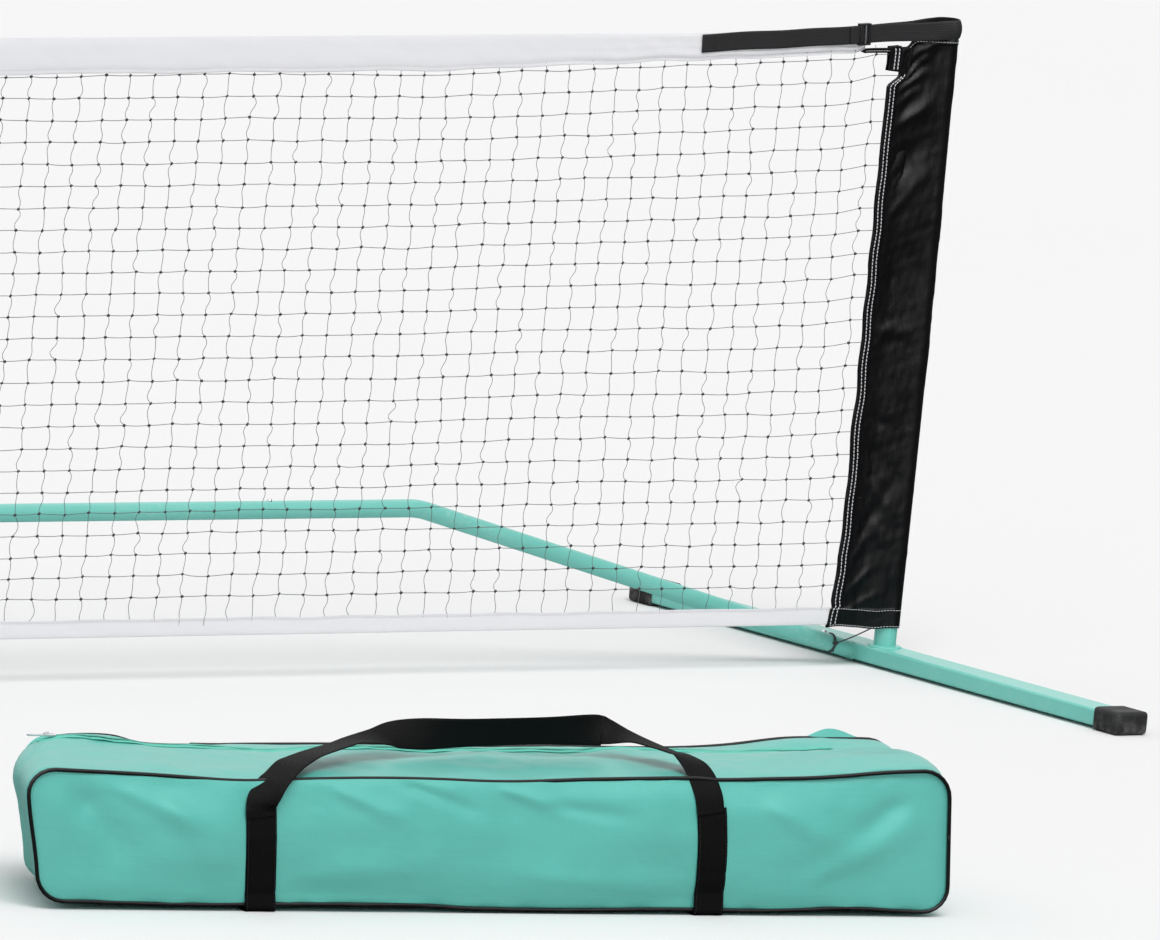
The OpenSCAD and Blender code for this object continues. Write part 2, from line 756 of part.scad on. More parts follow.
// Two webbing bands: up the front panel, under the bag and up the rear panel
module bag_bands() {
    outer = band_side(bag_web_t);
    inner = band_side(0);
    color([0.05, 0.05, 0.05]) at_bag() for (x = [-band_x, band_x]) translate([x, 0, 0])
        rotate([90, 0, 90]) linear_extrude(bag_web_w, center = true) polygon(concat(
            [for (k = [len(outer) - 1:-1:0]) outer[k]], [for (p = outer) [bag_d - p.x, p.y]],
            [for (k = [len(inner) - 1:-1:0]) [bag_d - inner[k].x, inner[k].y]], inner));
}

// Handle: one length of webbing that arches from band to band and leans over the bag
handle_path = [[-1, 0], [-0.965, 0.4], [-0.84, 0.68], [-0.64, 0.88], [-0.42, 1], [0.42, 1],
    [0.64, 0.88], [0.84, 0.68], [0.965, 0.4], [1, 0]];

// Points of the arch, moved sideways by off
function handle_edge(off) = let (reach = norm([handle_rise, bag_d / 2 + band_in]) - handle_short, n = len(handle_path),
    p = [for (q = handle_path) [q.x * band_x, q.y * (reach - bag_web_w / 2)]])
    [for (k = [0:n - 1]) let (v = p[min(k + 1, n - 1)] - p[max(k - 1, 0)], q = p[k] + off * [-v.y, v.x] / norm(v))
        [q.x, max(q.y, 0)]];

module handle_web() {
    inner = handle_edge(-bag_web_w / 2);
    outer = handle_edge(bag_web_w / 2);
    rotate([handle_lean, 0, 0]) linear_extrude(bag_web_t)
        polygon(concat(outer, [for (k = [len(inner) - 1:-1:0]) inner[k]]));
}

module bag_front_handle() {
    color([0.05, 0.05, 0.05]) at_bag() translate([0, -band_in, band_top]) handle_web();
}

// The rear handle folds over the ends of its bands and hangs down behind the bag
module bag_rear_handle() {
    color([0.05, 0.05, 0.05]) at_bag() {
        translate([0, hang_y, band_top]) rotate([hang_lean - 90, 0, 0]) linear_extrude(bag_web_t)
            polygon(concat(handle_edge(bag_web_w / 2),
                [for (p = handle_edge(-bag_web_w / 2)) [-p.x, p.y]]));
        for (x = [-band_x, band_x]) translate([x - bag_web_w / 2, bag_d + band_in, band_top])
            cube([bag_web_w, hang_y + bag_web_t - bag_d - band_in, bag_web_t]);
    }
}

// Frame of the zip, which lies on the falling rear half of the bag's top
module at_zip() {
    at_bag() translate([0, zip_y, zip_z]) rotate([-zip_fall, 0, 0]) children();
}

module bag_zip() {
    color([0.08, 0.08, 0.08]) at_zip() translate([-zip_l / 2, -zip_w / 2, 0]) {
        cube([zip_l, zip_w, zip_t]);
        translate([0, (zip_w - teeth_w) / 2, zip_t]) cube([zip_l, teeth_w, teeth_h]);
    }
}

// Slider with its pull, at the left end of the zip
module zip_slider() {
    eye_r = 3.5;
    color("silver") at_zip() translate([slider_in - zip_l / 2, 0, zip_t + teeth_h + slip]) {
        translate([-slider_l / 2, -slider_w / 2, 0]) cube([slider_l, slider_w, slider_h]);
        translate([-eye_r - 0.5, 0, slider_h]) rotate([90, 0, 0]) linear_extrude(2, center = true) difference() {
            circle(eye_r);
            circle(eye_r / 2);
            translate([-eye_r, -2 * eye_r]) square(2 * eye_r);
        }
        translate([-slider_l / 2 - pull_l + 0.5, -pull_w / 2, slip]) difference() {
            cube([pull_l, pull_w, pull_t]);
            translate([2, 2, -1]) cube([6, pull_w - 4, 2 * pull_t]);
        }
    }
}

foot(1);  // right_foot
foot(-1);  // left_foot
centre_foot();
foot_cap(post_x, foot_length, -1);  // right_front_cap
foot_cap(post_x, foot_length, 1);  // right_rear_cap
foot_cap(-post_x, foot_length, -1);  // left_front_cap
foot_cap(-post_x, foot_length, 1);  // left_rear_cap
foot_cap(0, centre_foot_length, -1);  // centre_front_cap
foot_cap(0, centre_foot_length, 1);  // centre_rear_cap
centre_pad();
post(1);  // right_post
post(-1);  // left_post
centre_post();
post_cap(1);  // right_post_cap
post_cap(-1);  // left_post_cap
centre_post_cap();
bent_rail(1);  // right_bent_rail
straight_rail(1, seam_x[0]);  // right_outer_rail
straight_rail(1, seam_x[1]);  // right_inner_rail
bent_rail(-1);  // left_bent_rail
straight_rail(-1, seam_x[0]);  // left_outer_rail
straight_rail(-1, seam_x[1]);  // left_inner_rail
rail_tee();
socket_button(1);  // right_socket_button
seam_button(1, 0);  // right_bend_button
seam_button(1, 1);  // right_rail_button
seam_button(1, 2);  // right_tee_button
socket_button(-1);  // left_socket_button
seam_button(-1, 0);  // left_bend_button
seam_button(-1, 1);  // left_rail_button
seam_button(-1, 2);  // left_tee_button
centre_post_button();
button_springs();
netting();
headband();
bottom_hem();
sleeve(1);  // right_sleeve
sleeve(-1);  // left_sleeve
corner_tab(1);  // right_corner_tab
corner_tab(-1);  // left_corner_tab
strap(1);  // right_strap
strap(-1);  // left_strap
buckle(1);  // right_buckle
buckle(-1);  // left_buckle
buckle_bar(1);  // right_buckle_bar
buckle_bar(-1);  // left_buckle_bar
tie_cord(1);  // right_tie_cord
tie_cord(-1);  // left_tie_cord
centre_strap();
bag_shell();
bag_piping();
bag_bands();
bag_front_handle();
bag_rear_handle();
bag_zip();
zip_slider();
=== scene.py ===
import bpy
import bmesh
import math
import numpy as np
from mathutils import Matrix, Vector


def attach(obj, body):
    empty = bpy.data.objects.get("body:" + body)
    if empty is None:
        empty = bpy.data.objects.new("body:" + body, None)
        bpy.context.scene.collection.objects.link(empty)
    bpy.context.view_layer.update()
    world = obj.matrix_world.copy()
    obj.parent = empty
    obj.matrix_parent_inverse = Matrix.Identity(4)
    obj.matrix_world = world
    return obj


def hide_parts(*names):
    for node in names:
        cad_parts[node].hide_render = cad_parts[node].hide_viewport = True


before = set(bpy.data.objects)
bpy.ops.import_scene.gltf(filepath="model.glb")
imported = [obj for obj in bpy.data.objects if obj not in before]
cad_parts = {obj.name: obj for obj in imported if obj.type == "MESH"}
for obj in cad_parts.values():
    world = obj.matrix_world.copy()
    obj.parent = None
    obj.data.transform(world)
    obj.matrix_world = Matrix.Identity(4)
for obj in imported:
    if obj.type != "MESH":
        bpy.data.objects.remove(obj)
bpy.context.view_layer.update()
print("frame loaded")

# shared sizes of the net, in metres

net = {
    "postX": 3.353, "netEnd": 3.253, "bandEnd": 3.208, "gather": 0.75,
    "endTop": 0.914, "midTop": 0.864, "bandWide": 0.050, "bandEndWide": 0.030,
    "hemLow": 0.062, "hemTop": 0.087, "sleeveLow": 0.058, "sleeveTop": 0.899,
    "railY": 0.045, "railZ": 0.229, "footTop": 0.0292,
    "seams": (2.238, 1.278, 0.318), "footHalf": 0.555, "centreHalf": 0.31,
    "socketX": 3.328, "socketZ": 0.017, "socketLong": 0.080, "bendX": 2.523,
}


def bandTop(x):
    # the top edge falls in a straight line from each post to the middle
    return net["endTop"] - (net["endTop"] - net["midTop"]) * (1 - np.abs(x) / net["postX"])


def bandWidth(x):
    # full width, narrowing evenly over the gathered length at each end
    share = np.clip((net["bandEnd"] - np.abs(x)) / net["gather"], 0, 1)
    return net["bandEndWide"] + (net["bandWide"] - net["bandEndWide"]) * share


def bandLow(x):
    # the lower edge, drawn up over the last few centimetres
    a = np.minimum(np.abs(x), net["bandEnd"])
    return bandTop(a) - bandWidth(a) + 0.007 * np.clip((a - net["bandEnd"] + 0.026) / 0.026, 0, 1) ** 2


# surfaces

def unit(v):
    # each vector divided by its length
    return v / np.maximum(np.linalg.norm(v, axis=-1, keepdims=True), 1e-12)


def ease(x, a, b):
    # 0 below a, 1 above b, and a smooth S between them
    t = np.clip((x - a) / (b - a), 0, 1)
    return t * t * (3 - 2 * t)


def bell(x, middle, width):
    # 1 at the middle, falling off to both sides as exp(-((x - middle) / width) squared)
    return np.exp(-((x - middle) / width) ** 2)


def spline(points, count):
    # Catmull-Rom curve: each stretch is the cubic that leaves and meets its points along their neighbours' chords
    p = np.asarray(points, float)
    p = np.vstack([2 * p[:1] - p[1:2], p, 2 * p[-1:] - p[-2:-1]])
    t = np.linspace(0, len(p) - 3 - 1e-9, count)
    i = t.astype(int)
    f = (t - i)[:, None]
    a, b, c, d = p[i], p[i + 1], p[i + 2], p[i + 3]
    return 0.5 * (2 * b + (c - a) * f + (2 * a - 5 * b + 4 * c - d) * f ** 2 + (3 * b - a - 3 * c + d) * f ** 3)


def wayAlong(path):
    # distance from the path's start to each point, as the running sum of the steps between them
    return np.r_[0, np.cumsum(np.linalg.norm(np.diff(path, axis=0), axis=1))]


def placed(at, way, values):
    # the values that stand along a way, read off at other places on it
    return np.stack([np.interp(at, way, values[:, k]) for k in range(values.shape[1])], -1)


def spaced(path, count):
    # the same path with its points an equal way apart
    way = wayAlong(path)
    return placed(np.linspace(0, way[-1], count), way, path)


def circle(sides):
    # angles of so many evenly spaced points round a circle
    return np.linspace(0, 2 * np.pi, sides, endpoint=False)


def stack(*values):
    # values of matching shapes, set side by side along a new last axis
    return np.stack(np.broadcast_arrays(*values), -1)


def paired(a, b):
    # a map of two values, one that varies along the rows and one along the columns
    return stack(a[:, None], b[None])


def ripple(points, seed, size, count=9):
    # sum of plane waves of random direction and phase, about size apart, from -1 to 1
    rng = np.random.default_rng(seed)
    out = 0
    for k in range(count):
        way = rng.normal(size=points.shape[-1])
        way /= np.linalg.norm(way)
        out = out + np.sin(points @ way * (2 * np.pi / (size * rng.uniform(0.6, 1.7))) + rng.uniform(0, 6.3))
    return out / math.sqrt(count)


def ripples(points, seed, *layers):
    # the sum of several ripples, each given as height, size and count, with seeds that follow one another
    return sum(high * ripple(points, seed + k, size, count) for k, (high, size, count) in enumerate(layers))


def folds(a, b, lines):
    # ridges: each line is (a0, b0, a1, b1, width, height), a bell across the line that fades out at its ends
    out = np.zeros(np.broadcast(a, b).shape)
    for a0, b0, a1, b1, width, height in lines:
        da, db = a1 - a0, b1 - b0
        length = math.hypot(da, db)
        t = ((a - a0) * da + (b - b0) * db) / length ** 2
        off = ((a - a0) * db - (b - b0) * da) / length
        fade = ease(t, -0.05, 0.25) * (1 - ease(t, 0.6, 1.1))
        out = out + height * np.exp(-(off / (width * (0.7 + 0.6 * np.clip(t, 0, 1)))) ** 2) * fade
    return out


def gridSurface(points, closeRows=False, closeCols=False, uv=None, flip=False):
    # a grid of rows x cols points joined in quads; a map that is too small repeats its last row and column
    rows, cols = points.shape[:2]
    i, j = np.meshgrid(np.arange(rows - (not closeRows)), np.arange(cols - (not closeCols)), indexing="ij")
    i2, j2 = (i + 1) % rows, (j + 1) % cols
    quads = stack(i * cols + j, i2 * cols + j, i2 * cols + j2, i * cols + j2).reshape(-1, 4)
    uv = np.zeros((1, 1, 2)) if uv is None else uv
    uv = np.pad(uv, ((0, rows + 1 - uv.shape[0]), (0, cols + 1 - uv.shape[1]), (0, 0)), mode="edge")
    quadUv = np.stack([uv[i, j], uv[i + 1, j], uv[i + 1, j + 1], uv[i, j + 1]], -2).reshape(-1, 4, 2)
    if flip:
        quads, quadUv = quads[:, ::-1], quadUv[:, ::-1]
    return points.reshape(-1, 3), quads, quadUv, np.zeros((0, 3), int), np.zeros((0, 3, 2))


def sweep(paths, rings, uv=None, flip=False):
    # closed rings of points (batch x stations x sides x 3) joined along each path, with a flat fan on each end
    batch, stations, sides = rings.shape[:3]
    each = stations * sides + 2
    body = np.concatenate([rings.reshape(batch, -1, 3), paths[:, :1], paths[:, -1:]], 1).reshape(-1, 3)
    k, j = np.meshgrid(np.arange(stations - 1), np.arange(sides), indexing="ij")
    j2 = (j + 1) % sides
    one = stack(k * sides + j, (k + 1) * sides + j, (k + 1) * sides + j2, k * sides + j2).reshape(-1, 4)
    if uv is None:
        uv = np.zeros((stations, sides + 1, 2))
    oneUv = np.stack([uv[k, j], uv[k + 1, j], uv[k + 1, j + 1], uv[k, j + 1]], -2).reshape(-1, 4, 2)
    j = np.arange(sides)
    first = stack(stations * sides, j, (j + 1) % sides)
    last = stack(stations * sides + 1, (stations - 1) * sides + (j + 1) % sides, (stations - 1) * sides + j)
    fan = np.concatenate([first, last])
    start = np.arange(batch)[:, None, None] * each
    quads = (one[None] + start).reshape(-1, 4)
    tris = (fan[None] + start).reshape(-1, 3)
    quadUv = np.tile(oneUv, (batch, 1, 1))
    triUv = np.zeros((len(tris), 3, 2))
    if flip:
        quads, quadUv, tris = quads[:, ::-1], quadUv[:, ::-1], tris[:, ::-1]
    return body, quads, quadUv, tris, triUv


def tubes(paths, radius, sides=6, ref=(0, 0, 1), flip=False, plain=False):
    # round section carried along each path; side = tangent x ref, up = side x tangent; a plain one has no map
    paths = np.asarray(paths, float)
    if paths.ndim == 2:
        paths = paths[None]
    along = unit(np.gradient(paths, axis=1))
    side = unit(np.cross(along, np.asarray(ref, float)))
    up = np.cross(side, along)
    a = circle(sides)
    r = np.broadcast_to(np.asarray(radius, float), paths.shape[:2])[..., None, None]
    ring = np.cos(a)[:, None] * side[:, :, None] + np.sin(a)[:, None] * up[:, :, None]
    uv = None if plain else paired(wayAlong(paths[0]), np.linspace(0, 1, sides + 1))
    return sweep(paths, paths[:, :, None] + r * ring, uv, flip)


def webbing(path, across, width, thick, flip=False, crown=0.0):
    # flat woven strap: a thin section with rounded edges carried along the path, its width along across
    path, across = np.asarray(path, float), np.asarray(across, float)
    along = unit(np.gradient(path, axis=0))
    across = np.broadcast_to(across, path.shape)
    w = unit(across - (across * along).sum(1, keepdims=True) * along)
    n = np.cross(along, w)
    s = np.array([-1, -0.97, -0.86, -0.6, -0.3, 0, 0.3, 0.6, 0.86, 0.97, 1])
    h = np.array([0, 0.75, 1.0, 0.9, 0.88, 0.88, 0.88, 0.9, 1.0, 0.75, 0])
    s = np.r_[s, s[-2:0:-1]]
    ws = s * np.broadcast_to(np.asarray(width, float), len(path))[:, None] / 2
    ns = np.r_[h, -h[-2:0:-1]] * thick / 2 + np.broadcast_to(crown, len(path))[:, None] * (1 - s ** 2)
    rings = path[:, None] + w[:, None] * ws[..., None] + n[:, None] * ns[..., None]
    return sweep(path[None], rings[None], paired(wayAlong(path), np.r_[ws[0], ws[0, :1]]), not flip)


# pitch, length and width of the stitches of each seam
seams = {"tape": (0.0062, 0.0044, 0.0007), "sleeveEdge": (0.0052, 0.0040, 0.0016), "hems": (0.0046, 0.0034, 0.0009),
         "tab": (0.0052, 0.0043, 0.0019), "tabTop": (0.0046, 0.0037, 0.0008), "strapEnd": (0.0031, 0.0023, 0.0007),
         "centreTape": (0.005, 0.0037, 0.0007), "bagBand": (0.0042, 0.0031, 0.0007)}


def stitchRow(path, normal, seam):
    # short threads along the path: each rises out of the cloth, runs along it and dives back in
    pitch, length, width = seams[seam]
    path = np.asarray(path, float)
    way = wayAlong(path)
    starts = np.arange(pitch * 0.3, way[-1] - length, pitch)
    at = starts[:, None] + np.array([0, 0.16, 0.5, 0.84, 1.0]) * length
    nrm = unit(placed(at, way, np.broadcast_to(np.asarray(normal, float), path.shape)))
    pts = placed(at, way, path) + nrm * (np.array([-0.3, 0.3, 0.5, 0.3, -0.3]) * width)[None, :, None]
    return tubes(pts, np.array([0.45, 0.9, 1.0, 0.9, 0.45]) * width / 2, 5, ref=nrm, plain=True)


def joined(mesh, reach, level=0):
    # points within reach become one, and neighbours that are level to within an angle become one face
    bm = bmesh.new()
    bm.from_mesh(mesh)
    bmesh.ops.remove_doubles(bm, verts=bm.verts, dist=reach)
    if level:
        bmesh.ops.dissolve_limit(bm, angle_limit=level, verts=bm.verts, edges=bm.edges)
    bm.to_mesh(mesh)
    bm.free()


def buildMesh(name, surfaces, weld=False, sharp=None):
    # one mesh of several surfaces, each given as points, quads and their map, triangles and their map
    base = np.cumsum([0] + [len(s[0]) for s in surfaces])
    points = np.concatenate([s[0] for s in surfaces])
    quads, tris = (np.concatenate([s[k] + b for s, b in zip(surfaces, base)]) for k in (1, 3))
    uv = np.concatenate([s[k].reshape(-1, 2) for k in (2, 4) for s in surfaces])
    mesh = bpy.data.meshes.new(name)
    mesh.vertices.add(len(points))
    mesh.vertices.foreach_set("co", points.astype(np.float32).ravel())
    loops = np.r_[quads.ravel(), tris.ravel()].astype(np.int32)
    mesh.loops.add(len(loops))
    mesh.loops.foreach_set("vertex_index", loops)
    mesh.polygons.add(len(quads) + len(tris))
    starts = np.r_[np.arange(len(quads)) * 4, len(quads) * 4 + np.arange(len(tris)) * 3].astype(np.int32)
    mesh.polygons.foreach_set("loop_start", starts)
    mesh.update(calc_edges=True)
    mesh.uv_layers.new(name="UVMap").data.foreach_set("uv", uv.astype(np.float32).ravel())
    mesh.polygons.foreach_set("use_smooth", np.ones(len(mesh.polygons), bool))
    if weld:
        joined(mesh, 2e-6)
    if sharp:
        mesh.set_sharp_from_angle(angle=math.radians(sharp))
    mesh.validate()
    mesh.update()
    return mesh


def linked(name, data):
    # a new object of the scene
    thing = bpy.data.objects.new(name, data)
    bpy.context.scene.collection.objects.link(thing)
    return thing


def dress(mesh, look):
    # the mesh with this one material
    mesh.materials.clear()
    mesh.materials.append(mats[look])


def addPiece(name, surfaces, look, replaced=None, body="frame", weld=False, sharp=None):
    # a visible piece: its look, the body that it rides on, and the solid that it stands for
    mesh = surfaces if isinstance(surfaces, bpy.types.Mesh) else buildMesh(name, surfaces, weld, sharp)
    piece = linked(name, mesh)
    dress(mesh, look)
    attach(piece, body)
    if replaced:
        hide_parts(replaced)
    return piece


def addModifier(piece, kind, **values):
    # a modifier with its settings, named after its kind
    m = piece.modifiers.new(kind.title(), kind)
    for key, value in values.items():
        setattr(m, key, value)


def softened(solid, look, body, width):
    # the frame's own solid with its edges rounded over
    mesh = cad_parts[solid].data.copy()
    joined(mesh, 1e-6, level=0.01)
    mesh.polygons.foreach_set("use_smooth", np.ones(len(mesh.polygons), bool))
    piece = addPiece("soft_" + solid, mesh, look, solid, body)
    addModifier(piece, "BEVEL", width=width, segments=2, limit_method="ANGLE", angle_limit=math.radians(40),
                harden_normals=True)


def sided(points, side):
    # the right-hand shape, or its mirror image on the left
    out = np.array(points, float)
    out[..., 0] *= side
    return out


# shader helpers

def plug(socket, value):
    # a wire is linked to the socket, and a constant is set on it
    if isinstance(value, Wire):
        socket.id_data.links.new(value.socket, socket)
    else:
        socket.default_value = value


def node(tree, kind, inputs=None, **settings):
    # a new shader node with its settings, and a value or wire on each named input
    n = tree.nodes.new("ShaderNode" + kind)
    for key, value in settings.items():
        setattr(n, key, value)
    for key, value in (inputs or {}).items():
        plug(n.inputs[key], value)
    return n


def wires(n):
    # all of a node's outputs by name
    return {o.name: Wire(o) for o in n.outputs}


def wire(tree, kind, inputs=None, out=0, **settings):
    # one output of a new node
    return Wire(node(tree, kind, inputs, **settings).outputs[out])


class Wire:
    # an output to reckon with: each step adds the node that works it out
    def __init__(self, socket):
        # the output and the tree that it belongs to
        self.socket, self.tree = socket, socket.id_data

    def reckon(self, operation, *values):
        # a step of arithmetic, on the given values or on this one alone
        return wire(self.tree, "Math", dict(enumerate(values or (self,))), operation=operation)

    def __add__(self, other):  # self + other
        return self.reckon("ADD", self, other)

    def __radd__(self, other):  # a number + self
        return self.reckon("ADD", other, self)

    def __sub__(self, other):  # self - other
        return self.reckon("SUBTRACT", self, other)

    def __rsub__(self, other):  # a number - self
        return self.reckon("SUBTRACT", other, self)

    def __mul__(self, other):  # self times other
        return self.reckon("MULTIPLY", self, other)

    def __abs__(self):  # the distance from 0
        return self.reckon("ABSOLUTE")

    def clamped(self):
        # the same value kept between 0 and 1
        self.socket.node.use_clamp = True
        return self

    def span(self, low, high, toLow=0.0, toHigh=1.0):
        # a smooth S from toLow where the value is low to toHigh where it is high
        return wire(self.tree, "MapRange", {"Value": self, "From Min": low, "From Max": high, "To Min": toLow,
                                            "To Max": toHigh}, interpolation_type="SMOOTHSTEP")


def parts(vector):
    # x, y and z of a vector
    return [Wire(o) for o in node(vector.tree, "SeparateXYZ", {0: vector}).outputs]


def scaled(vector, scale):
    # the vector times a factor for each axis
    return wire(vector.tree, "Mapping", {"Vector": vector, "Scale": scale})


def noise(vector, scale, detail, **more):
    # cloudy noise from 0 to 1, scale lumps to the unit
    return wire(vector.tree, "TexNoise", {"Vector": vector, "Scale": scale, "Detail": detail, **more})


def blend(factor, a, b):
    # colour a where the factor is 0, b where it is 1
    return wire(factor.tree, "Mix", {0: factor, 6: a, 7: b}, out=2, data_type="RGBA")


def bumped(height, distance, strength):
    # the surface direction as the height would tilt it
    return wire(height.tree, "Bump", {"Height": height, "Distance": distance, "Strength": strength})


def newGroup(name, outputs, **inputs):
    # a node group that takes a vector and plain values and puts out plain values
    group = bpy.data.node_groups.new(name, "ShaderNodeTree")
    group.interface.new_socket("Vector", in_out="INPUT", socket_type="NodeSocketVector")
    for label, value in inputs.items():
        group.interface.new_socket(label, in_out="INPUT", socket_type="NodeSocketFloat").default_value = value
    for label in outputs:
        group.interface.new_socket(label, in_out="OUTPUT", socket_type="NodeSocketFloat")
    into = wires(group.nodes.new("NodeGroupInput"))
    return group, into["Vector"], into, group.nodes.new("NodeGroupOutput")


def feed(n, **values):
    # values for named inputs, with _ for each space
    for key, value in values.items():
        plug(n.inputs[key.replace("_", " ")], value)


def useGroup(vector, group, **values):
    # the outputs of a group of nodes
    return wires(node(vector.tree, "Group", {"Vector": vector, **values}, node_tree=group))


def grainGroup():
    # fine grain, broad mottling and thin scuffs from three noises at related sizes
    g, at, i, o = newGroup("surfaceGrain", ("Fine", "Broad", "Scuff"), Fine=900.0, Broad=9.0, Lines=60.0, Amount=0.3)
    broad = noise(at, i["Broad"], 3.0)
    scratch = noise(scaled(at, (1.0, 2.6, 2.6)), i["Lines"], 5.0, Roughness=0.65, Distortion=0.6)
    line = abs(scratch - 0.5).span(0.018, 0.004)
    feed(o, Fine=noise(at, i["Fine"], 2.0), Broad=broad,
         Scuff=(line * broad.span(0.45, 0.65) * i["Amount"]).clamped())
    return g


def weaveGroup():
    # plain weave: where the thread numbers add to an even sum the warp lies on top, elsewhere the weft
    g, at, i, o = newGroup("plainWeave", ("Height", "Tone"), Warp=1200.0, Weft=1200.0)
    shift = (noise(at, 130.0, 2.0) - 0.5) * 0.9
    x, y, _ = parts(at)
    a, b = x * i["Warp"] + shift, y * i["Weft"] + shift
    fa, fb = (v.reckon("FRACT") - 0.5 for v in (a, b))
    total = a.reckon("FLOOR") + b.reckon("FLOOR")
    even = abs(total.reckon("MODULO", total, 2.0))
    odd = 1.0 - even
    top = (1.0 - fa * fa * 3.6) * even + (1.0 - fb * fb * 3.6) * odd
    dip = fb * fb * even + fa * fa * odd
    feed(o, Height=(top - dip * 1.8).clamped(), Tone=noise(scaled(at, (14.0, 260.0, 1.0)), 1.0, 2.0))
    return g


def webGroup():
    # webbing: short ribs in chevrons across the strap, with cords along it
    g, at, i, o = newGroup("ribbedWeb", ("Height", "Tone"), Ribs=620.0, Bands=260.0)
    x, y, _ = parts(at)
    zig = y.reckon("PINGPONG", y * i["Bands"], 1.0)
    rib = ((x * i["Ribs"] + zig) * fullTurn).reckon("SINE")
    cord = abs((y * (i["Bands"] * (fullTurn / 2))).reckon("SINE"))
    feed(o, Height=rib * 0.25 + cord * 0.7 + 0.2, Tone=noise(at, 420.0, 3.0))
    return g


def dustGroup():
    # pale court dust: strongest on the lowest parts, broken up by noise
    g, at, i, o = newGroup("groundDust", ("Mask",), Top=0.05, Amount=0.4)
    cloud = noise(at, 46.0, 5.0, Roughness=0.6)
    feed(o, Mask=parts(at)[2].span(i["Top"], 0.0) * cloud.span(0.4, 0.68) * i["Amount"])
    return g


fullTurn = 6.2832
grain, weave, web, dust = grainGroup(), weaveGroup(), webGroup(), dustGroup()


def newMaterial(name, **values):
    # a material, its shader, and the piece's own place and map
    mat = bpy.data.materials.new(name)
    mat.use_nodes = True
    shader = mat.node_tree.nodes["Principled BSDF"]
    feed(shader, **values)
    at = wires(node(mat.node_tree, "TexCoord"))
    return mat, shader, at["Object"], at["UV"]


def dusted(at, base, top, amount, colour):
    # the base colour with dust over it up to a height
    return blend(useGroup(at, dust, Top=top, Amount=amount)["Mask"], base, colour)


def tealSteel():
    # powder coat: a soft gloss with orange peel, rubbed pale at the joints and scuffed low down
    mat, s, at, _ = newMaterial("tealSteel", Coat_Weight=0.25, Coat_Roughness=0.22)
    g = useGroup(at, grain, Fine=700.0, Broad=7.0, Lines=34.0, Amount=0.8)
    x, _, z = parts(at)
    rub = 0.0
    for seam in net["seams"]:
        near = abs(abs(x) - (seam + 0.002)).span(0.016, 0.001)
        rub = near.reckon("MAXIMUM", near, rub)
    worn = rub * z.span(0.30, 0.20) * g["Broad"].span(0.40, 0.62)
    base = blend(g["Broad"], (0.178, 0.600, 0.522, 1), (0.212, 0.655, 0.575, 1))
    base = blend(g["Scuff"], base, (0.36, 0.70, 0.62, 1))
    base = blend(worn * 0.55, base, (0.42, 0.66, 0.60, 1))
    feed(s, Base_Color=dusted(at, base, 0.03, 0.12, (0.52, 0.58, 0.54, 1)), Roughness=0.27 + g["Broad"] * 0.16,
         Normal=bumped(g["Fine"] - g["Scuff"] * 1.5, 0.00012, 0.5))
    return mat


def moulded(name, dark, pale, rough, fine, dirt=0.3, specular=0.5):
    # moulded rubber or plastic: a sandy skin with thin scuffs, painted paler as a painted sheen of rubbed spots, with
    # dust near the ground
    mat, s, at, _ = newMaterial(name, Specular_IOR_Level=specular)
    g = useGroup(at, grain, Fine=fine, Broad=22.0, Lines=90.0, Amount=0.6)
    # painted sheen: thin scuff lines are painted paler than the skin to stand for rubbed shine
    base = blend(g["Scuff"], blend(g["Broad"], dark, pale), tuple(min(1.0, c * 2.6) for c in pale[:3]) + (1,))
    feed(s, Base_Color=dusted(at, base, 0.035, dirt, (0.42, 0.42, 0.40, 1)),
         Roughness=rough - 0.08 + g["Broad"] * 0.2, Normal=bumped(g["Fine"], 0.0002, 0.6))
    return mat


def brightSteel():
    # drawn spring steel: fine lines along it and a few dull spots
    mat, s, at, _ = newMaterial("brightSteel", Metallic=1.0)
    g = useGroup(scaled(at, (1.0, 9.0, 9.0)), grain, Fine=1600.0, Broad=70.0, Lines=160.0, Amount=0.7)
    base = blend(g["Broad"], (0.56, 0.57, 0.59, 1), (0.74, 0.75, 0.77, 1))
    feed(s, Base_Color=blend(g["Scuff"], base, (0.32, 0.31, 0.30, 1)), Roughness=0.18 + g["Broad"] * 0.26,
         Normal=bumped(g["Fine"], 0.00006, 0.5))
    return mat


def cloth(name, dark, pale, rough, threads, height, creases, dirt, specular=0.3, hollowShade=0.72, **layers):
    # woven cloth: threads from the piece's own map in metres, slubs in tone, painted shade in the hollows between the
    # threads, soft creases and a little dust
    mat, s, at, uv = newMaterial(name, Specular_IOR_Level=specular, **layers)
    w = useGroup(uv, weave, Warp=threads, Weft=threads)
    g = useGroup(at, grain, Fine=300.0, Broad=5.0, Lines=14.0, Amount=0.5)
    base = blend(w["Tone"] * 0.5 + g["Broad"] * 0.5, dark, pale)
    # painted shade: the colour is darkened where the weave lies low between the threads, down to the given share
    shaded = wire(at.tree, "HueSaturation", {"Color": base, "Value": w["Height"].span(0.0, 0.5, hollowShade, 1.0)})
    crease = noise(at, 26.0, 4.0, Distortion=1.2)
    feed(s, Base_Color=dusted(at, shaded, *dirt, (0.50, 0.49, 0.46, 1)), Roughness=rough - 0.07 + g["Broad"] * 0.16,
         Normal=bumped(w["Height"] * height + crease * creases, 0.001, 1.0))
    return mat


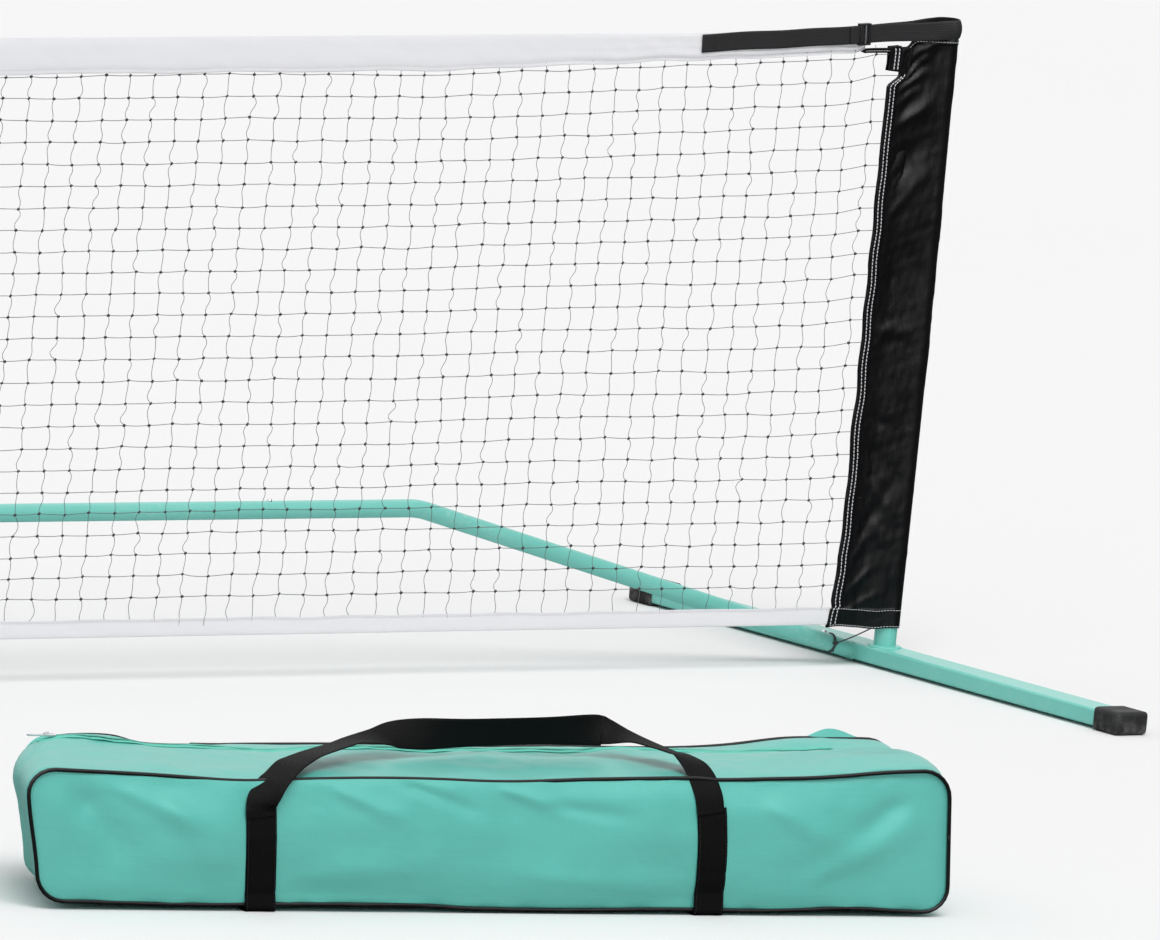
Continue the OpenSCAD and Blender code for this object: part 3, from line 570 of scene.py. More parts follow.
def strapWeb(name, dark, pale, rough=0.62, specular=0.16):
    # webbing: painted paler on its raised ribs and cords as a painted highlight and darker in its grooves as painted
    # shade, with the yarn's own tone; rougher where the fuzz is thick
    mat, s, _, uv = newMaterial(name, Specular_IOR_Level=specular)
    w = useGroup(uv, web, Ribs=520.0, Bands=300.0)
    # painted light: the colour follows the weave's height; only the Tone noise is the yarn's own colour
    feed(s, Base_Color=blend(((w["Height"] + w["Tone"]) * 0.55).clamped(), dark, pale),
         Roughness=w["Tone"].span(0.3, 0.7, rough - 0.1, rough + 0.12), Normal=bumped(w["Height"], 0.0003, 0.8))
    return mat


def twisted(name, dark, pale, turns, rough=0.7):
    # laid twine: strands wind round it as slanted ridges in its own map, painted paler on their crests as a painted
    # highlight and darker in the grooves as painted shade
    mat, s, at, uv = newMaterial(name)
    x, y, _ = parts(uv)
    wave = ((x * turns + y * 3.0) * fullTurn).reckon("SINE")
    g = useGroup(at, grain, Fine=1500.0, Broad=16.0, Lines=50.0, Amount=0.2)
    # painted light: the colour follows the strands' ridges; the broad mottling is the twine's own tone
    feed(s, Base_Color=blend(g["Broad"] * 0.4, blend(wave.span(-1.0, 1.0), dark, pale), pale),
         Roughness=rough - 0.1 + g["Fine"] * 0.2, Normal=bumped(wave, 0.0002, 0.8))
    return mat


def grey(value, blue=0.0):
    # a grey with a little more blue, as a colour
    return (value, value, value + blue, 1)


mats = {
    "teal": tealSteel(),
    "rubber": moulded("footRubber", (0.012, 0.012, 0.013, 1), (0.024, 0.025, 0.026, 1), 0.55, 1400.0, 0.22, 0.3),
    "plastic": moulded("blackPlastic", grey(0.010, 0.001), grey(0.020, 0.002), 0.40, 2200.0, 0.05, 0.3),
    "steel": brightSteel(),
    "twine": twisted("netTwine", grey(0.070, 0.004), grey(0.200, 0.008), 420.0),
    # the knots' twine is the net's twine made darker: painted shade in the knots' folds
    "knot": twisted("shadedKnotTwine", grey(0.016, 0.002), grey(0.060, 0.004), 420.0),
    "cord": twisted("tieCordFibre", (0.020, 0.032, 0.030, 1), (0.075, 0.105, 0.098, 1), 170.0),
    "white": cloth("whiteTape", grey(0.89, 0.03), grey(0.94, 0.025), 0.72, 1500.0, 0.16, 0.35, (0.09, 0.08),
                   hollowShade=0.90),
    "black": cloth("sleeveCloth", grey(0.0016, 0.0005), grey(0.0032, 0.0008), 0.32, 2200.0, 0.04, 0.6, (0.07, 0.002),
                   specular=0.32),
    # the tension webbing is several times paler than the handle webbing: partly the strap's own grey, partly painted
    # sheen
    "web": strapWeb("tensionWebbing", grey(0.0080, 0.0006), grey(0.028, 0.002), specular=0.30),
    "bagWeb": strapWeb("handleWebbing", grey(0.0012, 0.0001), grey(0.0042, 0.0004), specular=0.10),
    "bag": cloth("bagCloth", (0.094, 0.466, 0.402, 1), (0.120, 0.538, 0.468, 1), 0.46, 420.0, 0.12, 0.18,
                 (0.012, 0.06), hollowShade=0.90, Sheen_Weight=0.10, Sheen_Roughness=0.5, Coat_Weight=0.50,
                 Coat_Roughness=0.36),
    "piping": moulded("bagPiping", grey(0.0030, 0.0002), grey(0.0060, 0.0005), 0.36, 1800.0, 0.02, 0.30),
    "threadWhite": twisted("whiteThread", grey(0.52, 0.03), grey(0.84, 0.03), 900.0, 0.6),
    "threadBlack": twisted("blackThread", grey(0.006, 0.001), grey(0.022, 0.002), 900.0, 0.6),
    "zipTape": strapWeb("zipTape", (0.105, 0.520, 0.405, 1), (0.150, 0.660, 0.520, 1), 0.6),
    "teeth": moulded("zipTeeth", (0.060, 0.340, 0.265, 1), (0.085, 0.420, 0.330, 1), 0.30, 2400.0, 0.0),
}
bothSides = ((1, "right"), (-1, "left"))
print("materials ready")

# frame

def cadLook(name):
    # bright steel for buttons, springs and bars, plastic on the posts, rubber on the feet, powder coat elsewhere
    for ends, look in ((("_button", "_springs", "_bar"), "steel"), (("post_cap",), "plastic"),
                       (("_cap", "_pad"), "rubber")):
        if name.endswith(ends):
            return look
    return "teal"


for name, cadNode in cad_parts.items():
    dress(cadNode.data, cadLook(name))

footCap = {"long": 0.052, "halfWide": 0.0292, "high": 0.0334, "grooves": (0.012, 0.019, 0.026), "grooveDeep": 0.0009,
           "grooveWide": 0.0011, "tuck": 0.0062, "power": 9}


def bootSurface(x, endY, sign):
    # a section carried out along the foot, which shrinks by a quarter circle at the closed end; it is a
    # superellipse, whose power makes it close to a rectangle with rounded corners
    s = footCap
    tuckIn = s["long"] - 0.0065
    turn = np.linspace(0.1, np.pi / 2, 9)
    way = np.r_[0, 0.0003, 0.0015, 0.003, np.linspace(0.005, tuckIn, 34), tuckIn + s["tuck"] * np.sin(turn),
                s["long"], s["long"] - 0.0006]
    shrink = np.r_[0.0011, 0.0004, np.zeros(36), s["tuck"] * (1 - np.cos(turn)), 0.0085, 0.0125]
    for at in s["grooves"]:
        shrink = shrink + s["grooveDeep"] * bell(way, at, s["grooveWide"]) * (way < s["long"] - 0.007)
    a, hx, hz = circle(72), s["halfWide"], s["high"] / 2
    reach = (np.abs(np.cos(a) / hx) ** s["power"] + np.abs(np.sin(a) / hz) ** s["power"]) ** (-1 / s["power"])
    y = endY - sign * s["long"] + sign * way
    middle = stack(x, y, hz)
    pts = stack(x + reach * np.cos(a) * (1 - shrink / hx)[:, None], y[:, None],
                hz + reach * np.sin(a) * (1 - shrink / hz)[:, None])
    return sweep(middle[None], pts[None], None, flip=sign > 0)


for label, x, half in (("right", net["postX"], net["footHalf"]), ("left", -net["postX"], net["footHalf"]),
                       ("centre", 0.0, net["centreHalf"])):
    for end, sign in (("front", -1), ("rear", 1)):
        addPiece(label + end.title() + "Boot", [bootSurface(x, sign * half, sign)], "rubber",
                 label + "_" + end + "_cap", sharp=50)

weld = {"collar": 0.0226, "bead": 0.0017, "socket": 0.0130, "socketBead": 0.0015, "ripple": 0.0021}


def beadAlong(path, radius, seed):
    # a weld bead: a tube whose thickness swells and falls once for each ripple
    length = wayAlong(path)[-1]
    path = spaced(path, max(24, int(length / weld["ripple"] * 4)))
    swell = 1 + 0.16 * np.sin(np.linspace(0, 2 * np.pi * length / weld["ripple"], len(path)))
    swell = swell + 0.08 * ripple(path, seed, 0.02, 4)
    return tubes(path + 0.0002 * ripple(path, seed + 1, 0.012, 5)[:, None], radius * swell, 8)


tilt = math.atan((net["railZ"] - net["socketZ"]) / (net["socketX"] - net["bendX"]))
turn = np.linspace(0, 2 * np.pi, 97)


def collarRing(x, y):
    # circle round a post's base, just over the foot
    return stack(x + weld["collar"] * np.cos(turn), y + weld["collar"] * np.sin(turn), net["footTop"] + 0.0004)


oval = stack(net["socketX"] - 0.0006, net["railY"] + weld["socket"] * np.cos(turn),
             np.clip(net["socketZ"] + weld["socket"] / math.cos(tilt) * np.sin(turn), 0.0052, 0.0288))
for side, label in bothSides:
    addPiece(label + "Welds", [beadAlong(sided(collarRing(net["postX"], 0), side), weld["bead"], 3),
                               beadAlong(sided(oval, side), weld["socketBead"], 5)], "teal")
addPiece("centreWeld", [beadAlong(collarRing(0, net["railY"]), weld["bead"], 7)], "teal")
print("frame dressed")

# twine

twine = {"pitch": 0.04222, "rows": 25, "thick": 0.00100, "knotLong": 0.0048, "knotHigh": 0.0041, "sway": 0.0017,
         "bow": 0.0022, "perCell": 6, "seed": 41}


def netKnots():
    # knots at the crossings; columns stand evenly, rows share the height from the hem to just under the headband
    rng = np.random.default_rng(twine["seed"])
    half = int(net["netEnd"] / twine["pitch"] - 0.5)
    cols = (np.arange(-half, half + 2) - 0.5) * twine["pitch"]
    x = np.broadcast_to(cols[:, None], (len(cols), twine["rows"] + 1)).copy()
    share = np.arange(twine["rows"] + 1) / twine["rows"]
    topRow = bandLow(x) - 0.0030 - 0.0045 * ease(np.abs(x), 2.3, 3.1)
    z = net["hemTop"] - 0.001 + (topRow - net["hemTop"]) * share
    inside = share > 0.01
    x += rng.normal(0, 0.0009, x.shape) + 0.0016 * ripple(stack(x, z), 11, 0.5, 7)
    z += (rng.normal(0, 0.0007, x.shape) + 0.0014 * ripple(stack(x, z), 12, 0.6, 7)) * inside
    y = 0.0016 * ripple(stack(x, z), 13, 0.7, 8) * np.sin(np.pi * share)
    return stack(x, y, z), rng


knots, rng = netKnots()


def stretches(pts, count):
    # count points on the straight way from each knot to the next, and their shares of it
    t = np.arange(count) / count
    a, b = pts[:, :-1], pts[:, 1:]
    return t, a[:, :, None] + (b - a)[:, :, None] * t[:, None]


def uprights(pts):
    # between two knots the twine swings to one side and then the other, and bows as a whole
    t, p = stretches(pts, twine["perCell"])
    sway = rng.normal(0.4 * twine["sway"], twine["sway"], p.shape[:2])[..., None]
    bow = rng.normal(-0.35 * twine["bow"], twine["bow"], p.shape[:2])[..., None]
    p[..., 0] -= sway * np.sin(2 * np.pi * t) - bow * np.sin(np.pi * t)
    p[..., 1] += rng.normal(0, 0.0006, p.shape[:2])[..., None] * np.sin(np.pi * t)
    p = p.reshape(len(pts), -1, 3)
    return np.concatenate([p, pts[:, -1:]], 1)


def levels(pts):
    # rows run taut from knot to knot with a slight droop
    pts = np.swapaxes(pts, 0, 1)[1:]
    t, p = stretches(pts, 3)
    p[..., 2] -= np.abs(rng.normal(0.0004, 0.0004, p.shape[:2]))[..., None] * np.sin(np.pi * t)
    p = p.reshape(len(pts), -1, 3)
    lead = np.array([[[0.052, 0, 0.0010]]])
    return np.concatenate([pts[:, :1] - lead * [1, 1, -1], p, pts[:, -1:], pts[:, -1:] + lead], 1)


def knotLumps(pts):
    # weaver's knot: two fat loops that cross, drawn as a lens with a waist; the net's two halves come as two surfaces
    c = pts[:, 1:].reshape(-1, 3)
    lean = rng.normal(0.5, 0.25, len(c))
    way = stack(np.cos(lean), 0, np.sin(lean))
    t = np.array([-0.5, -0.3, 0.0, 0.3, 0.5])
    paths = c[:, None] + way[:, None] * (t * twine["knotLong"])[None, :, None]
    size = rng.uniform(0.85, 1.2, len(c))[:, None]
    thick = np.array([0.28, 0.9, 0.78, 0.9, 0.28]) * twine["knotHigh"] / 2 * size
    middle = len(c) // 2
    return [tubes(paths[part], thick[part], 6, ref=(0, 1, 0)) for part in (slice(None, middle), slice(middle, None))]


columns = uprights(knots)
top = columns[:, -1:] + rng.normal(0, 1, (len(columns), 1, 1)) * [0.0016, 0, 0] + [-0.0014, 0, 0.013]
columns = np.concatenate([columns[:, :1] - [0, 0, 0.010], columns, top], 1)
half = len(columns) // 2
radius = twine["thick"] / 2
for label, part in (("Left", columns[:half]), ("Right", columns[half:])):
    addPiece("netUprights" + label, [tubes(part, radius, 4, ref=(0, 1, 0))], "twine")
addPiece("netLevels", [tubes(levels(knots), radius * 0.92, 4)], "twine", "netting")
for label, lumps in zip(("Left", "Right"), knotLumps(knots)):
    # the knots wear the darker twine, painted shade
    addPiece("netKnots" + label, [lumps], "knot")
print("net knotted", len(knots) * (twine["rows"] - 1), "knots")

# tapes

band = {"half": 0.0023, "seed": 5, "thick": 0.0007, "flat": (0.10, 6.42), "stations": 536}
hem = {"wide": 0.025, "half": 0.0017, "seed": 29, "thick": 0.0007, "flat": (0.052, 6.51), "stations": 540}


def tapeShape(x, low, wide, half, pull, seed, foldUp):
    # folded tape seen end on: two faces part between the stitch line and the fold, where a half round joins them
    f = np.array([0.0, 0.04, 0.09, 0.13, 0.17, 0.24, 0.34, 0.48, 0.62, 0.76, 0.88, 0.955, 0.985, 1.0])
    swell = np.array([0.80, 0.74, 0.62, 0.52, 0.62, 0.74, 0.88, 0.96, 1.0, 1.0, 0.95, 0.72, 0.42, 0.0])
    f, swell = np.r_[f, f[-2::-1]], np.r_[swell, -swell[-2::-1]]
    f, swell = np.broadcast_arrays(f[None, :], swell[None, :] + 0 * x[:, None])
    x, low, wide, pull = (v[:, None] + 0 * swell for v in (x, low, wide, pull))
    z = low + wide * (f if foldUp else 1 - f)
    pos = stack(x, z)
    y = half * swell * (1 + 0.10 * ripple(pos * [1, 3], seed, 0.09, 7))
    y = y + 0.0011 * ripple(pos * [1, 0.2], seed + 1, 0.5, 6)
    wander = 0.35 * ripple(x[..., None], seed + 2, 0.25, 4)
    y = y + pull * 0.0024 * np.sin(2 * np.pi * (3.1 * f + wander)) * (1 - f ** 6)
    y = y + np.sign(swell) * 0.0005 * ripple(pos * [1, 1.5], seed + 3, 0.035, 6) * np.abs(swell)
    z = z + (1 - f) * 0.0009 * ripple(x[..., None], seed + 4, 0.16, 6) + pull * 0.001 * ripple(pos, seed + 5, 0.07, 5)
    return stack(x, y, z)


def tapePiece(name, x, low, wide, shape, pull, cadNode, foldUp):
    # the tape as a sheet that solidify makes thick; its points serve the stitches
    pts = tapeShape(x, low, wide, shape["half"], pull, shape["seed"], foldUp)
    uv = paired(x, np.linspace(0, 2 * wide.mean(), pts.shape[1]))
    piece = addPiece(name, [gridSurface(pts, uv=uv, flip=not foldUp)], "white", cadNode)
    addModifier(piece, "SOLIDIFY", thickness=shape["thick"], offset=1.0)
    return pts


x = np.linspace(-net["bandEnd"], net["bandEnd"], band["stations"])
pull = ease(np.abs(x), net["bandEnd"] - net["gather"], net["bandEnd"])
bandPts = tapePiece("headbandTape", x, bandLow(x), bandWidth(x), band, pull, "headband", True)
x = np.linspace(-net["netEnd"], net["netEnd"], hem["stations"])
hemPts = tapePiece("bottomHemTape", x, net["hemLow"] + 0 * x, hem["wide"] + 0 * x, hem, 0 * x, "bottom_hem", False)
for name, pts in (("headbandStitches", bandPts), ("hemStitches", hemPts)):
    rows = [stitchRow(pts[:, k], (0, face, 0), "tape") for k, face in ((3, 1), (23, -1))]
    addPiece(name, rows, "threadWhite")
print("tapes sewn")

# sleeves

sleeve = {"reach": 0.100, "flat": 0.042, "round": 0.0171, "half": 0.0009, "thick": 0.0010, "loose": 0.0032,
          "bottomHem": 0.0285, "topHem": 0.008, "rows": (0.0050, 0.0118), "across": 150}


def sleeveBase():
    # from the sewn edge along the front, round the post, and back along the rear, as x, y and outward normal
    s = sleeve
    reach = math.hypot(s["reach"] - s["flat"], s["half"])
    start = math.atan2(-s["half"], -(s["reach"] - s["flat"])) + math.acos(s["round"] / reach)
    arc = np.linspace(start, -start, 60)
    front = np.array([[-s["reach"], -s["half"]], [-(s["reach"] - s["flat"]), -s["half"]]])
    path = np.vstack([front, s["round"] * stack(np.cos(arc), np.sin(arc)), front[::-1] * [1, -1]])
    path = spaced(path, 800)
    kernel = np.hanning(61) / np.hanning(61).sum()
    wide = np.vstack([np.repeat(path[:1], 30, 0), path, np.repeat(path[-1:], 30, 0)])
    path = np.stack([np.convolve(wide[:, k], kernel, "valid") for k in range(2)], 1)
    r = np.linalg.norm(path, axis=1)
    push = (path[:, 0] > -0.012) & (r < s["round"])
    path[push] *= (s["round"] / r[push])[:, None]
    along = unit(np.gradient(path, axis=0))
    return wayAlong(path), path, stack(along[:, 1], -along[:, 0])


baseWay, basePath, baseOut = sleeveBase()
sleeveGirth = baseWay[-1]
rngFold = np.random.default_rng(77)
# lines of the folds at the upper and the lower corner, in millimetres
cornerFolds = np.array([(34, 876, 82, 896, 5, 4.4), (20, 846, 74, 882, 4.6, 5), (16, 826, 68, 858, 5, 4.6),
                        (8, 800, 60, 838, 6, 3.4), (30, 862, 60, 868, 4, -3.4), (12, 770, 80, 812, 8, 3),
                        (10, 700, 85, 770, 10, -2.6), (20, 640, 90, 730, 9, 2.6), (4, 91, 62, 151, 5, 3),
                        (12, 76, 80, 114, 5, 2.4), (4, 126, 55, 206, 7, 2.4), (30, 186, 85, 286, 9, -2.2)]) / 1000
softFolds = [(rngFold.uniform(0.0, 0.03), z0, rngFold.uniform(0.06, 0.1), z0 + rngFold.uniform(-0.09, 0.09),
              rngFold.uniform(0.006, 0.012), rngFold.uniform(-0.0022, 0.0026)) for z0 in np.linspace(0.2, 0.78, 15)]


def sleeveShape(s, z):
    # the base section, moved outwards by looseness, tension folds and hems; the upper corner draws in under its tab
    s, z = np.broadcast_arrays(np.asarray(s, float), np.asarray(z, float))
    px, py = (np.interp(s, baseWay, basePath[:, k]) for k in (0, 1))
    nx, ny = (np.interp(s, baseWay, baseOut[:, k]) for k in (0, 1))
    near = np.minimum(s, sleeveGirth - s)  # way from the sewn edge, same on both faces
    rear = s > sleeveGirth / 2
    free = ease(near, 0.014, 0.040)
    onPost = ease(near, 0.085, 0.110)
    lines = folds(near, z, cornerFolds) + folds(near + 0.01 * rear, z + 0.02 * rear, softFolds)
    pos = stack(near * 2.2 + 5 * rear, z)
    wave = ripples(pos, 21, (0.0011, 0.16, 9), (0.0004, 0.045, 9))
    out = free * (lines + wave) + 0.0002 * ripple(pos, 23, 0.02, 7)
    hemTop = net["sleeveLow"] + sleeve["bottomHem"]
    hemmed = 1 - ease(z, hemTop - 0.0012, hemTop)
    hemmed = hemmed + ease(z, net["sleeveTop"] - sleeve["topHem"], net["sleeveTop"] - sleeve["topHem"] + 0.0012)
    out = out + 0.0007 * hemmed * ease(near, 0.0, 0.01) + 0.0006 * (1 - ease(near, 0.0165, 0.0178))
    out = np.where(onPost > 0, np.maximum(out, 0.0002) * onPost + out * (1 - onPost), out)
    out = out + sleeve["loose"] * onPost * (0.35 + 0.5 * np.sin(np.pi * np.clip((z - 0.1) / 0.7, 0, 1)))
    edge = bell(near, 0, 0.030)
    draw = 0.021 * ease(z, 0.836, 0.856) * edge - 0.0105 * (1 - ease(z, 0.104, 0.150)) * edge
    draw = draw + (0.0040 * ease(z, 0.098, hemTop) - 0.0030 * (1 - ease(z, hemTop - 0.0012, hemTop))) * edge
    draw = draw + 0.0016 * ripple(stack(z), 31, 0.11, 7) * edge
    x = net["postX"] + px + nx * out + draw
    dip = -0.0016 * ripple(stack(near, near * 0), 33, 0.05, 4) * (1 - ease(z, 0.066, 0.136))
    rise = (-0.0080 + 0.0126 * ease(near, 0.008, 0.050)) * ease(z, 0.80, 0.899)
    return stack(x, py + ny * out, z - dip + rise), stack(nx, ny, 0)


zStations = np.unique(np.r_[np.linspace(net["sleeveLow"], net["sleeveTop"], 190),
                            net["sleeveLow"] + sleeve["bottomHem"] + np.linspace(-0.0014, 0.0002, 4),
                            net["sleeveTop"] - sleeve["topHem"] + np.linspace(-0.0002, 0.0014, 4)])
sStations = np.unique(np.r_[np.linspace(0, sleeveGirth, sleeve["across"]), 0.0165, 0.0171, 0.0178,
                            sleeveGirth - np.array([0.0165, 0.0171, 0.0178])])
sGrid, zGrid = np.meshgrid(sStations, zStations, indexing="ij")
for side, label in bothSides:
    surface = gridSurface(sided(sleeveShape(sGrid, zGrid)[0], side), uv=stack(sGrid, zGrid), flip=side < 0)
    piece = addPiece(label + "PostSleeve", [surface], "black", label + "_sleeve")
    addModifier(piece, "SOLIDIFY", thickness=sleeve["thick"], offset=-0.6)
    label + "_post"
    rows = []
    for near in sleeve["rows"]:
        for s0 in (near, sleeveGirth - near):
            z = np.linspace(net["sleeveLow"] + 0.002, net["sleeveTop"] - 0.041, 300)
            p, n = sleeveShape(np.full(300, s0), z)
            rows.append(stitchRow(sided(p, side), sided(n, side), "sleeveEdge"))
    for z0, start in ((net["sleeveLow"] + 0.0022, 0.003), (net["sleeveLow"] + sleeve["bottomHem"] - 0.003, 0.003),
                      (net["sleeveTop"] - 0.0035, 0.018)):
        p, n = sleeveShape(np.linspace(start, sleeveGirth - start, 400), np.full(400, z0))
        rows.append(stitchRow(sided(p, side), sided(n, side), "hems"))
    addPiece(label + "SleeveStitches", rows, "threadWhite")

# corner tabs

tab = {"wide": 0.0205, "high": 0.036, "thick": 0.0016}
for side, label in bothSides:
    top = net["sleeveTop"] - 0.0065
    shapes, rows = [], []
    for face in (-1, 1):
        z = np.linspace(top, top - tab["high"], 26)
        y = face * (0.0031 + 0.0003 * np.sin(np.linspace(0, 7, 26)))
        x = net["netEnd"] + 0.0082 + 0.0010 * np.sin(np.linspace(0, 3, 26))
        path = stack(x, y, z)
        shapes.append(webbing(sided(path, side), (side, 0, 0), tab["wide"], tab["thick"]))
        for dx in (-0.0014, 0.0054):
            row = path + [dx, face * 0.0009, 0]
            rows.append(stitchRow(sided(row[1:-1], side), (0, face, 0), "tab"))
    path = spline([[net["bandEnd"] - 0.006, 0, 0.8838], [net["bandEnd"] + 0.004, 0, 0.8852],
                   [net["bandEnd"] + 0.022, 0, 0.8857], [net["netEnd"] + 0.004, 0, 0.8860]], 30)
    wide = (0.0008 + 0.0026 * ease(np.linspace(0, 1, 30), 0.0, 0.24) + 0.0004 * np.linspace(0, 1, 30))[:, None]
    a = circle(20)
    section = stack(0, 0.0019 * np.sin(a) + 0.0005 * np.sin(3 * a), 0)
    rings = path[:, None] + section + (np.cos(a)[None] * wide)[..., None] * np.array([0, 0, 1])
    shapes.append(sweep(path[None] * [side, 1, 1], sided(rings, side)[None], None, flip=side < 0))
    rows.append(stitchRow(sided(path[5:] + [0, -0.0021, -0.0002], side), (0, -1, 0), "tabTop"))
    addPiece(label + "CornerTab", shapes, "black", label + "_corner_tab")
    addPiece(label + "TabStitches", rows, "threadWhite")
print("sleeves sewn")

# tension straps

strap = {"high": 0.918, "tilt": 3.2, "wide": 0.026, "thick": 0.0019, "layerY": -0.0066, "loop": 0.0182, "end": 0.445,
         "double": 0.181, "fork": 0.129}


def atStrap(local, side):
    # strap frame: x along the strap towards the post, tilted up by its angle about the post's axis
    t = math.radians(strap["tilt"])
    x, y, z = local[..., 0], local[..., 1], local[..., 2]
    return sided(stack(net["postX"] + x * math.cos(t) - z * math.sin(t), y,
                       strap["high"] + x * math.sin(t) + z * math.cos(t)), side)


def strapPath():
    # from the sewn end past the buckle, behind the post, round it and back in front through the buckle
    s = strap
    a = math.radians(100)
    arc = np.linspace(a, -a, 40)
    loop = stack(s["loop"] * np.cos(arc), s["loop"] * np.sin(arc), 0)
    back = [[-s["end"], -0.0046, 0], [-0.34, -0.0050, 0], [-0.25, -0.0056, 0], [-s["double"], -0.0055, 0],
            [-s["fork"], s["layerY"] + 0.0011, 0], [-0.075, 0.0030, 0], [-0.035, 0.0135, 0]]
    front = [[-0.035, -0.0170, 0], [-0.075, -0.0120, 0], [-s["fork"], s["layerY"] - 0.0012, 0],
             [-s["double"], s["layerY"] - 0.0012, 0]]
    return spaced(spline(np.vstack([back, loop, front]), 700), 420)


def strapStitches(side):
    # a stitched box with a cross in it, on the strap's sewn end
    near, far = (-strap["end"] + 0.005, -0.0056), (-strap["end"] + 0.023, -0.0058)
    a, b, c, d = [(*end, z) for end in (near, far) for z in (-0.010, 0.010)]
    lines = np.array([(a, b), (c, d), (a, d), (b, c), (b, d), (a, c)])
    return [stitchRow(atStrap(line, side), (0, -1, 0), "strapEnd") for line in lines]


tie = {"turnR": 0.0138, "cordR": 0.00095, "place": 0.45, "climb": 0.0011, "sag": 0.0015, "knot": 0.00132}


def tieRoute():
    # from the sleeve's hem down to the socket and twice round it, with a small knot and its tail where it arrives
    mouth = np.array([net["socketX"] - net["socketLong"] * math.cos(tilt), net["railY"],
                      net["socketZ"] + net["socketLong"] * math.sin(tilt)])
    along = np.array([math.cos(tilt), 0, -math.sin(tilt)])
    above = np.array([math.sin(tilt), 0, math.cos(tilt)])
    a = np.linspace(-0.5 * np.pi, 3.6 * np.pi, 120)
    bend = tie["turnR"] * (np.cos(a)[:, None] * above + np.sin(a)[:, None] * np.array([0, 1, 0]))
    coil = mouth + along * tie["place"] * net["socketLong"]
    coil = coil + along * (tie["climb"] * (a - a[0]) / np.pi)[:, None] + bend
    first = np.array([net["postX"] - 0.020, 0.0, net["sleeveLow"] + 0.001])
    lead = np.linspace(0, 1, 14)[:-1, None]
    run = first + (coil[0] - first) * lead + np.array([0, 0, -tie["sag"]]) * np.sin(np.pi * lead)
    knotAt = coil[0] + np.array([0.002, -0.0012, 0.001])
    k = np.linspace(0, 2 * np.pi, 60)
    knot = knotAt + tie["knot"] * stack(np.sin(k) + 2 * np.sin(2 * k), -np.sin(3 * k), np.cos(k) - 2 * np.cos(2 * k))
    tail = spline([knotAt, knotAt + [-0.004, -0.003, -0.004], knotAt + [-0.006, -0.004, -0.012]], 16)
    return spaced(np.vstack([run, coil]), 200), knot, tail


for side, label in bothSides:
    path = strapPath()
    x = path[:, 0]
    path[:, 1] += 0.0005 * ripple(x[:, None], 51, 0.09, 5) * ease(-x, 0.02, 0.10)
    path[:, 2] += 0.0007 * ripple(x[:, None], 52, 0.2, 4)
    world = atStrap(path, side)
    # the sewn end is cut at a slant, and the loop dishes outwards over the post
    slant = 0.25 * (1 - ease(np.linspace(0, 1, 420), 0.0, 0.05))
    up = atStrap(path + stack(0.01 * slant, 0, 0 * x + 0.01), side) - world
    wide = strap["wide"] * (1 + 0.06 * ease(x, -0.06, 0.0))
    dish = -0.0034 * ease(x, -0.04, 0.004)
    addPiece(label + "StrapWeb", [webbing(world, up, wide, strap["thick"], side < 0, dish)], "web", label + "_strap")
    addPiece(label + "StrapStitches", strapStitches(side), "threadBlack")
    softened(label + "_buckle", "plastic", label + "_buckle_body", 0.0006)

    route, knot, tail = (sided(line, side) for line in tieRoute())
    cord = addPiece(label + "TieCord", [tubes(route, tie["cordR"], 8, (0.2, 0.1, 0.97), side < 0)], "cord",
                    label + "_tie_cord")
    tieKnot = addPiece(label + "TieKnot", [tubes(knot, tie["cordR"], 7, flip=side < 0),
                                           tubes(tail, tie["cordR"] * 0.9, 7, (0, 1, 0), side < 0)], "cord")
    round(float(wayAlong(route)[-1]), 4)

centre = {"wide": 0.040, "half": 0.0040, "low": 0.8125, "high": 0.8655, "thick": 0.0009, "power": 0.35,
          "flat": (0.040, 0.125), "seamX": 0.0165, "seamY": -0.0050, "seamZ": (0.818, 0.860)}


def centreLoop():
    # a folded tape round the headband: a squarish loop, and the tape's section set outwards from it on both faces
    mid, tall = (centre["high"] + centre["low"]) / 2, (centre["high"] - centre["low"]) / 2
    c, s = (np.sign(v) * np.abs(v) ** centre["power"] for v in (np.cos(circle(80)), np.sin(circle(80))))
    loop = stack(centre["half"] * c, mid + tall * s)
    loop = spaced(np.vstack([loop, loop[:1]]), 97)[:-1]
    xs = np.array([-1, -0.98, -0.9, -0.5, 0, 0.5, 0.9, 0.98, 1.0]) * centre["wide"] / 2
    outward = unit(loop - [0, mid])
    thick = np.array([0, 0.75, 1, 0.9, 0.9, 0.9, 1, 0.75, 0]) * centre["thick"]
    faces = [np.stack(np.broadcast_arrays(xs[None], *(loop[:, k:k + 1] + outward[:, k:k + 1] * thick * f
                                                      for k in (0, 1))), -1) for f in (1, -1)]
    return np.concatenate([faces[0], faces[1][:, -2:0:-1]], 1)


ringPts = centreLoop()
uv = paired(np.linspace(0, 0.12, 97), np.linspace(0, 0.08, ringPts.shape[1] + 1))
piece = addPiece("centreTapeLoop", [gridSurface(ringPts, closeRows=True, closeCols=True, uv=uv, flip=True)], "white",
                 "centre_strap")
rows = [stitchRow([[dx, centre["seamY"], z] for z in centre["seamZ"]], (0, -1, 0), "centreTape")
        for dx in (-centre["seamX"], centre["seamX"])]
addPiece("centreTapeStitches", rows, "threadBlack")
print("straps fitted")

# bag

bag = {"x": 1.395, "y": -1.616, "turn": -10.0, "scale": (1.2130, 1.1579, 1.0904), "half": 0.540, "deep": 0.190,
       "low": 0.0043, "high": 0.166, "corner": 0.031, "mid": 0.08535, "halfHigh": 0.0807, "bulge": 0.014,
       "crown": 0.008, "bands": (-0.2785, 0.2495), "webWide": 0.043, "webThick": 0.0021, "lean": 0.09, "skew": 0.034,
       "piping": 0.0027}


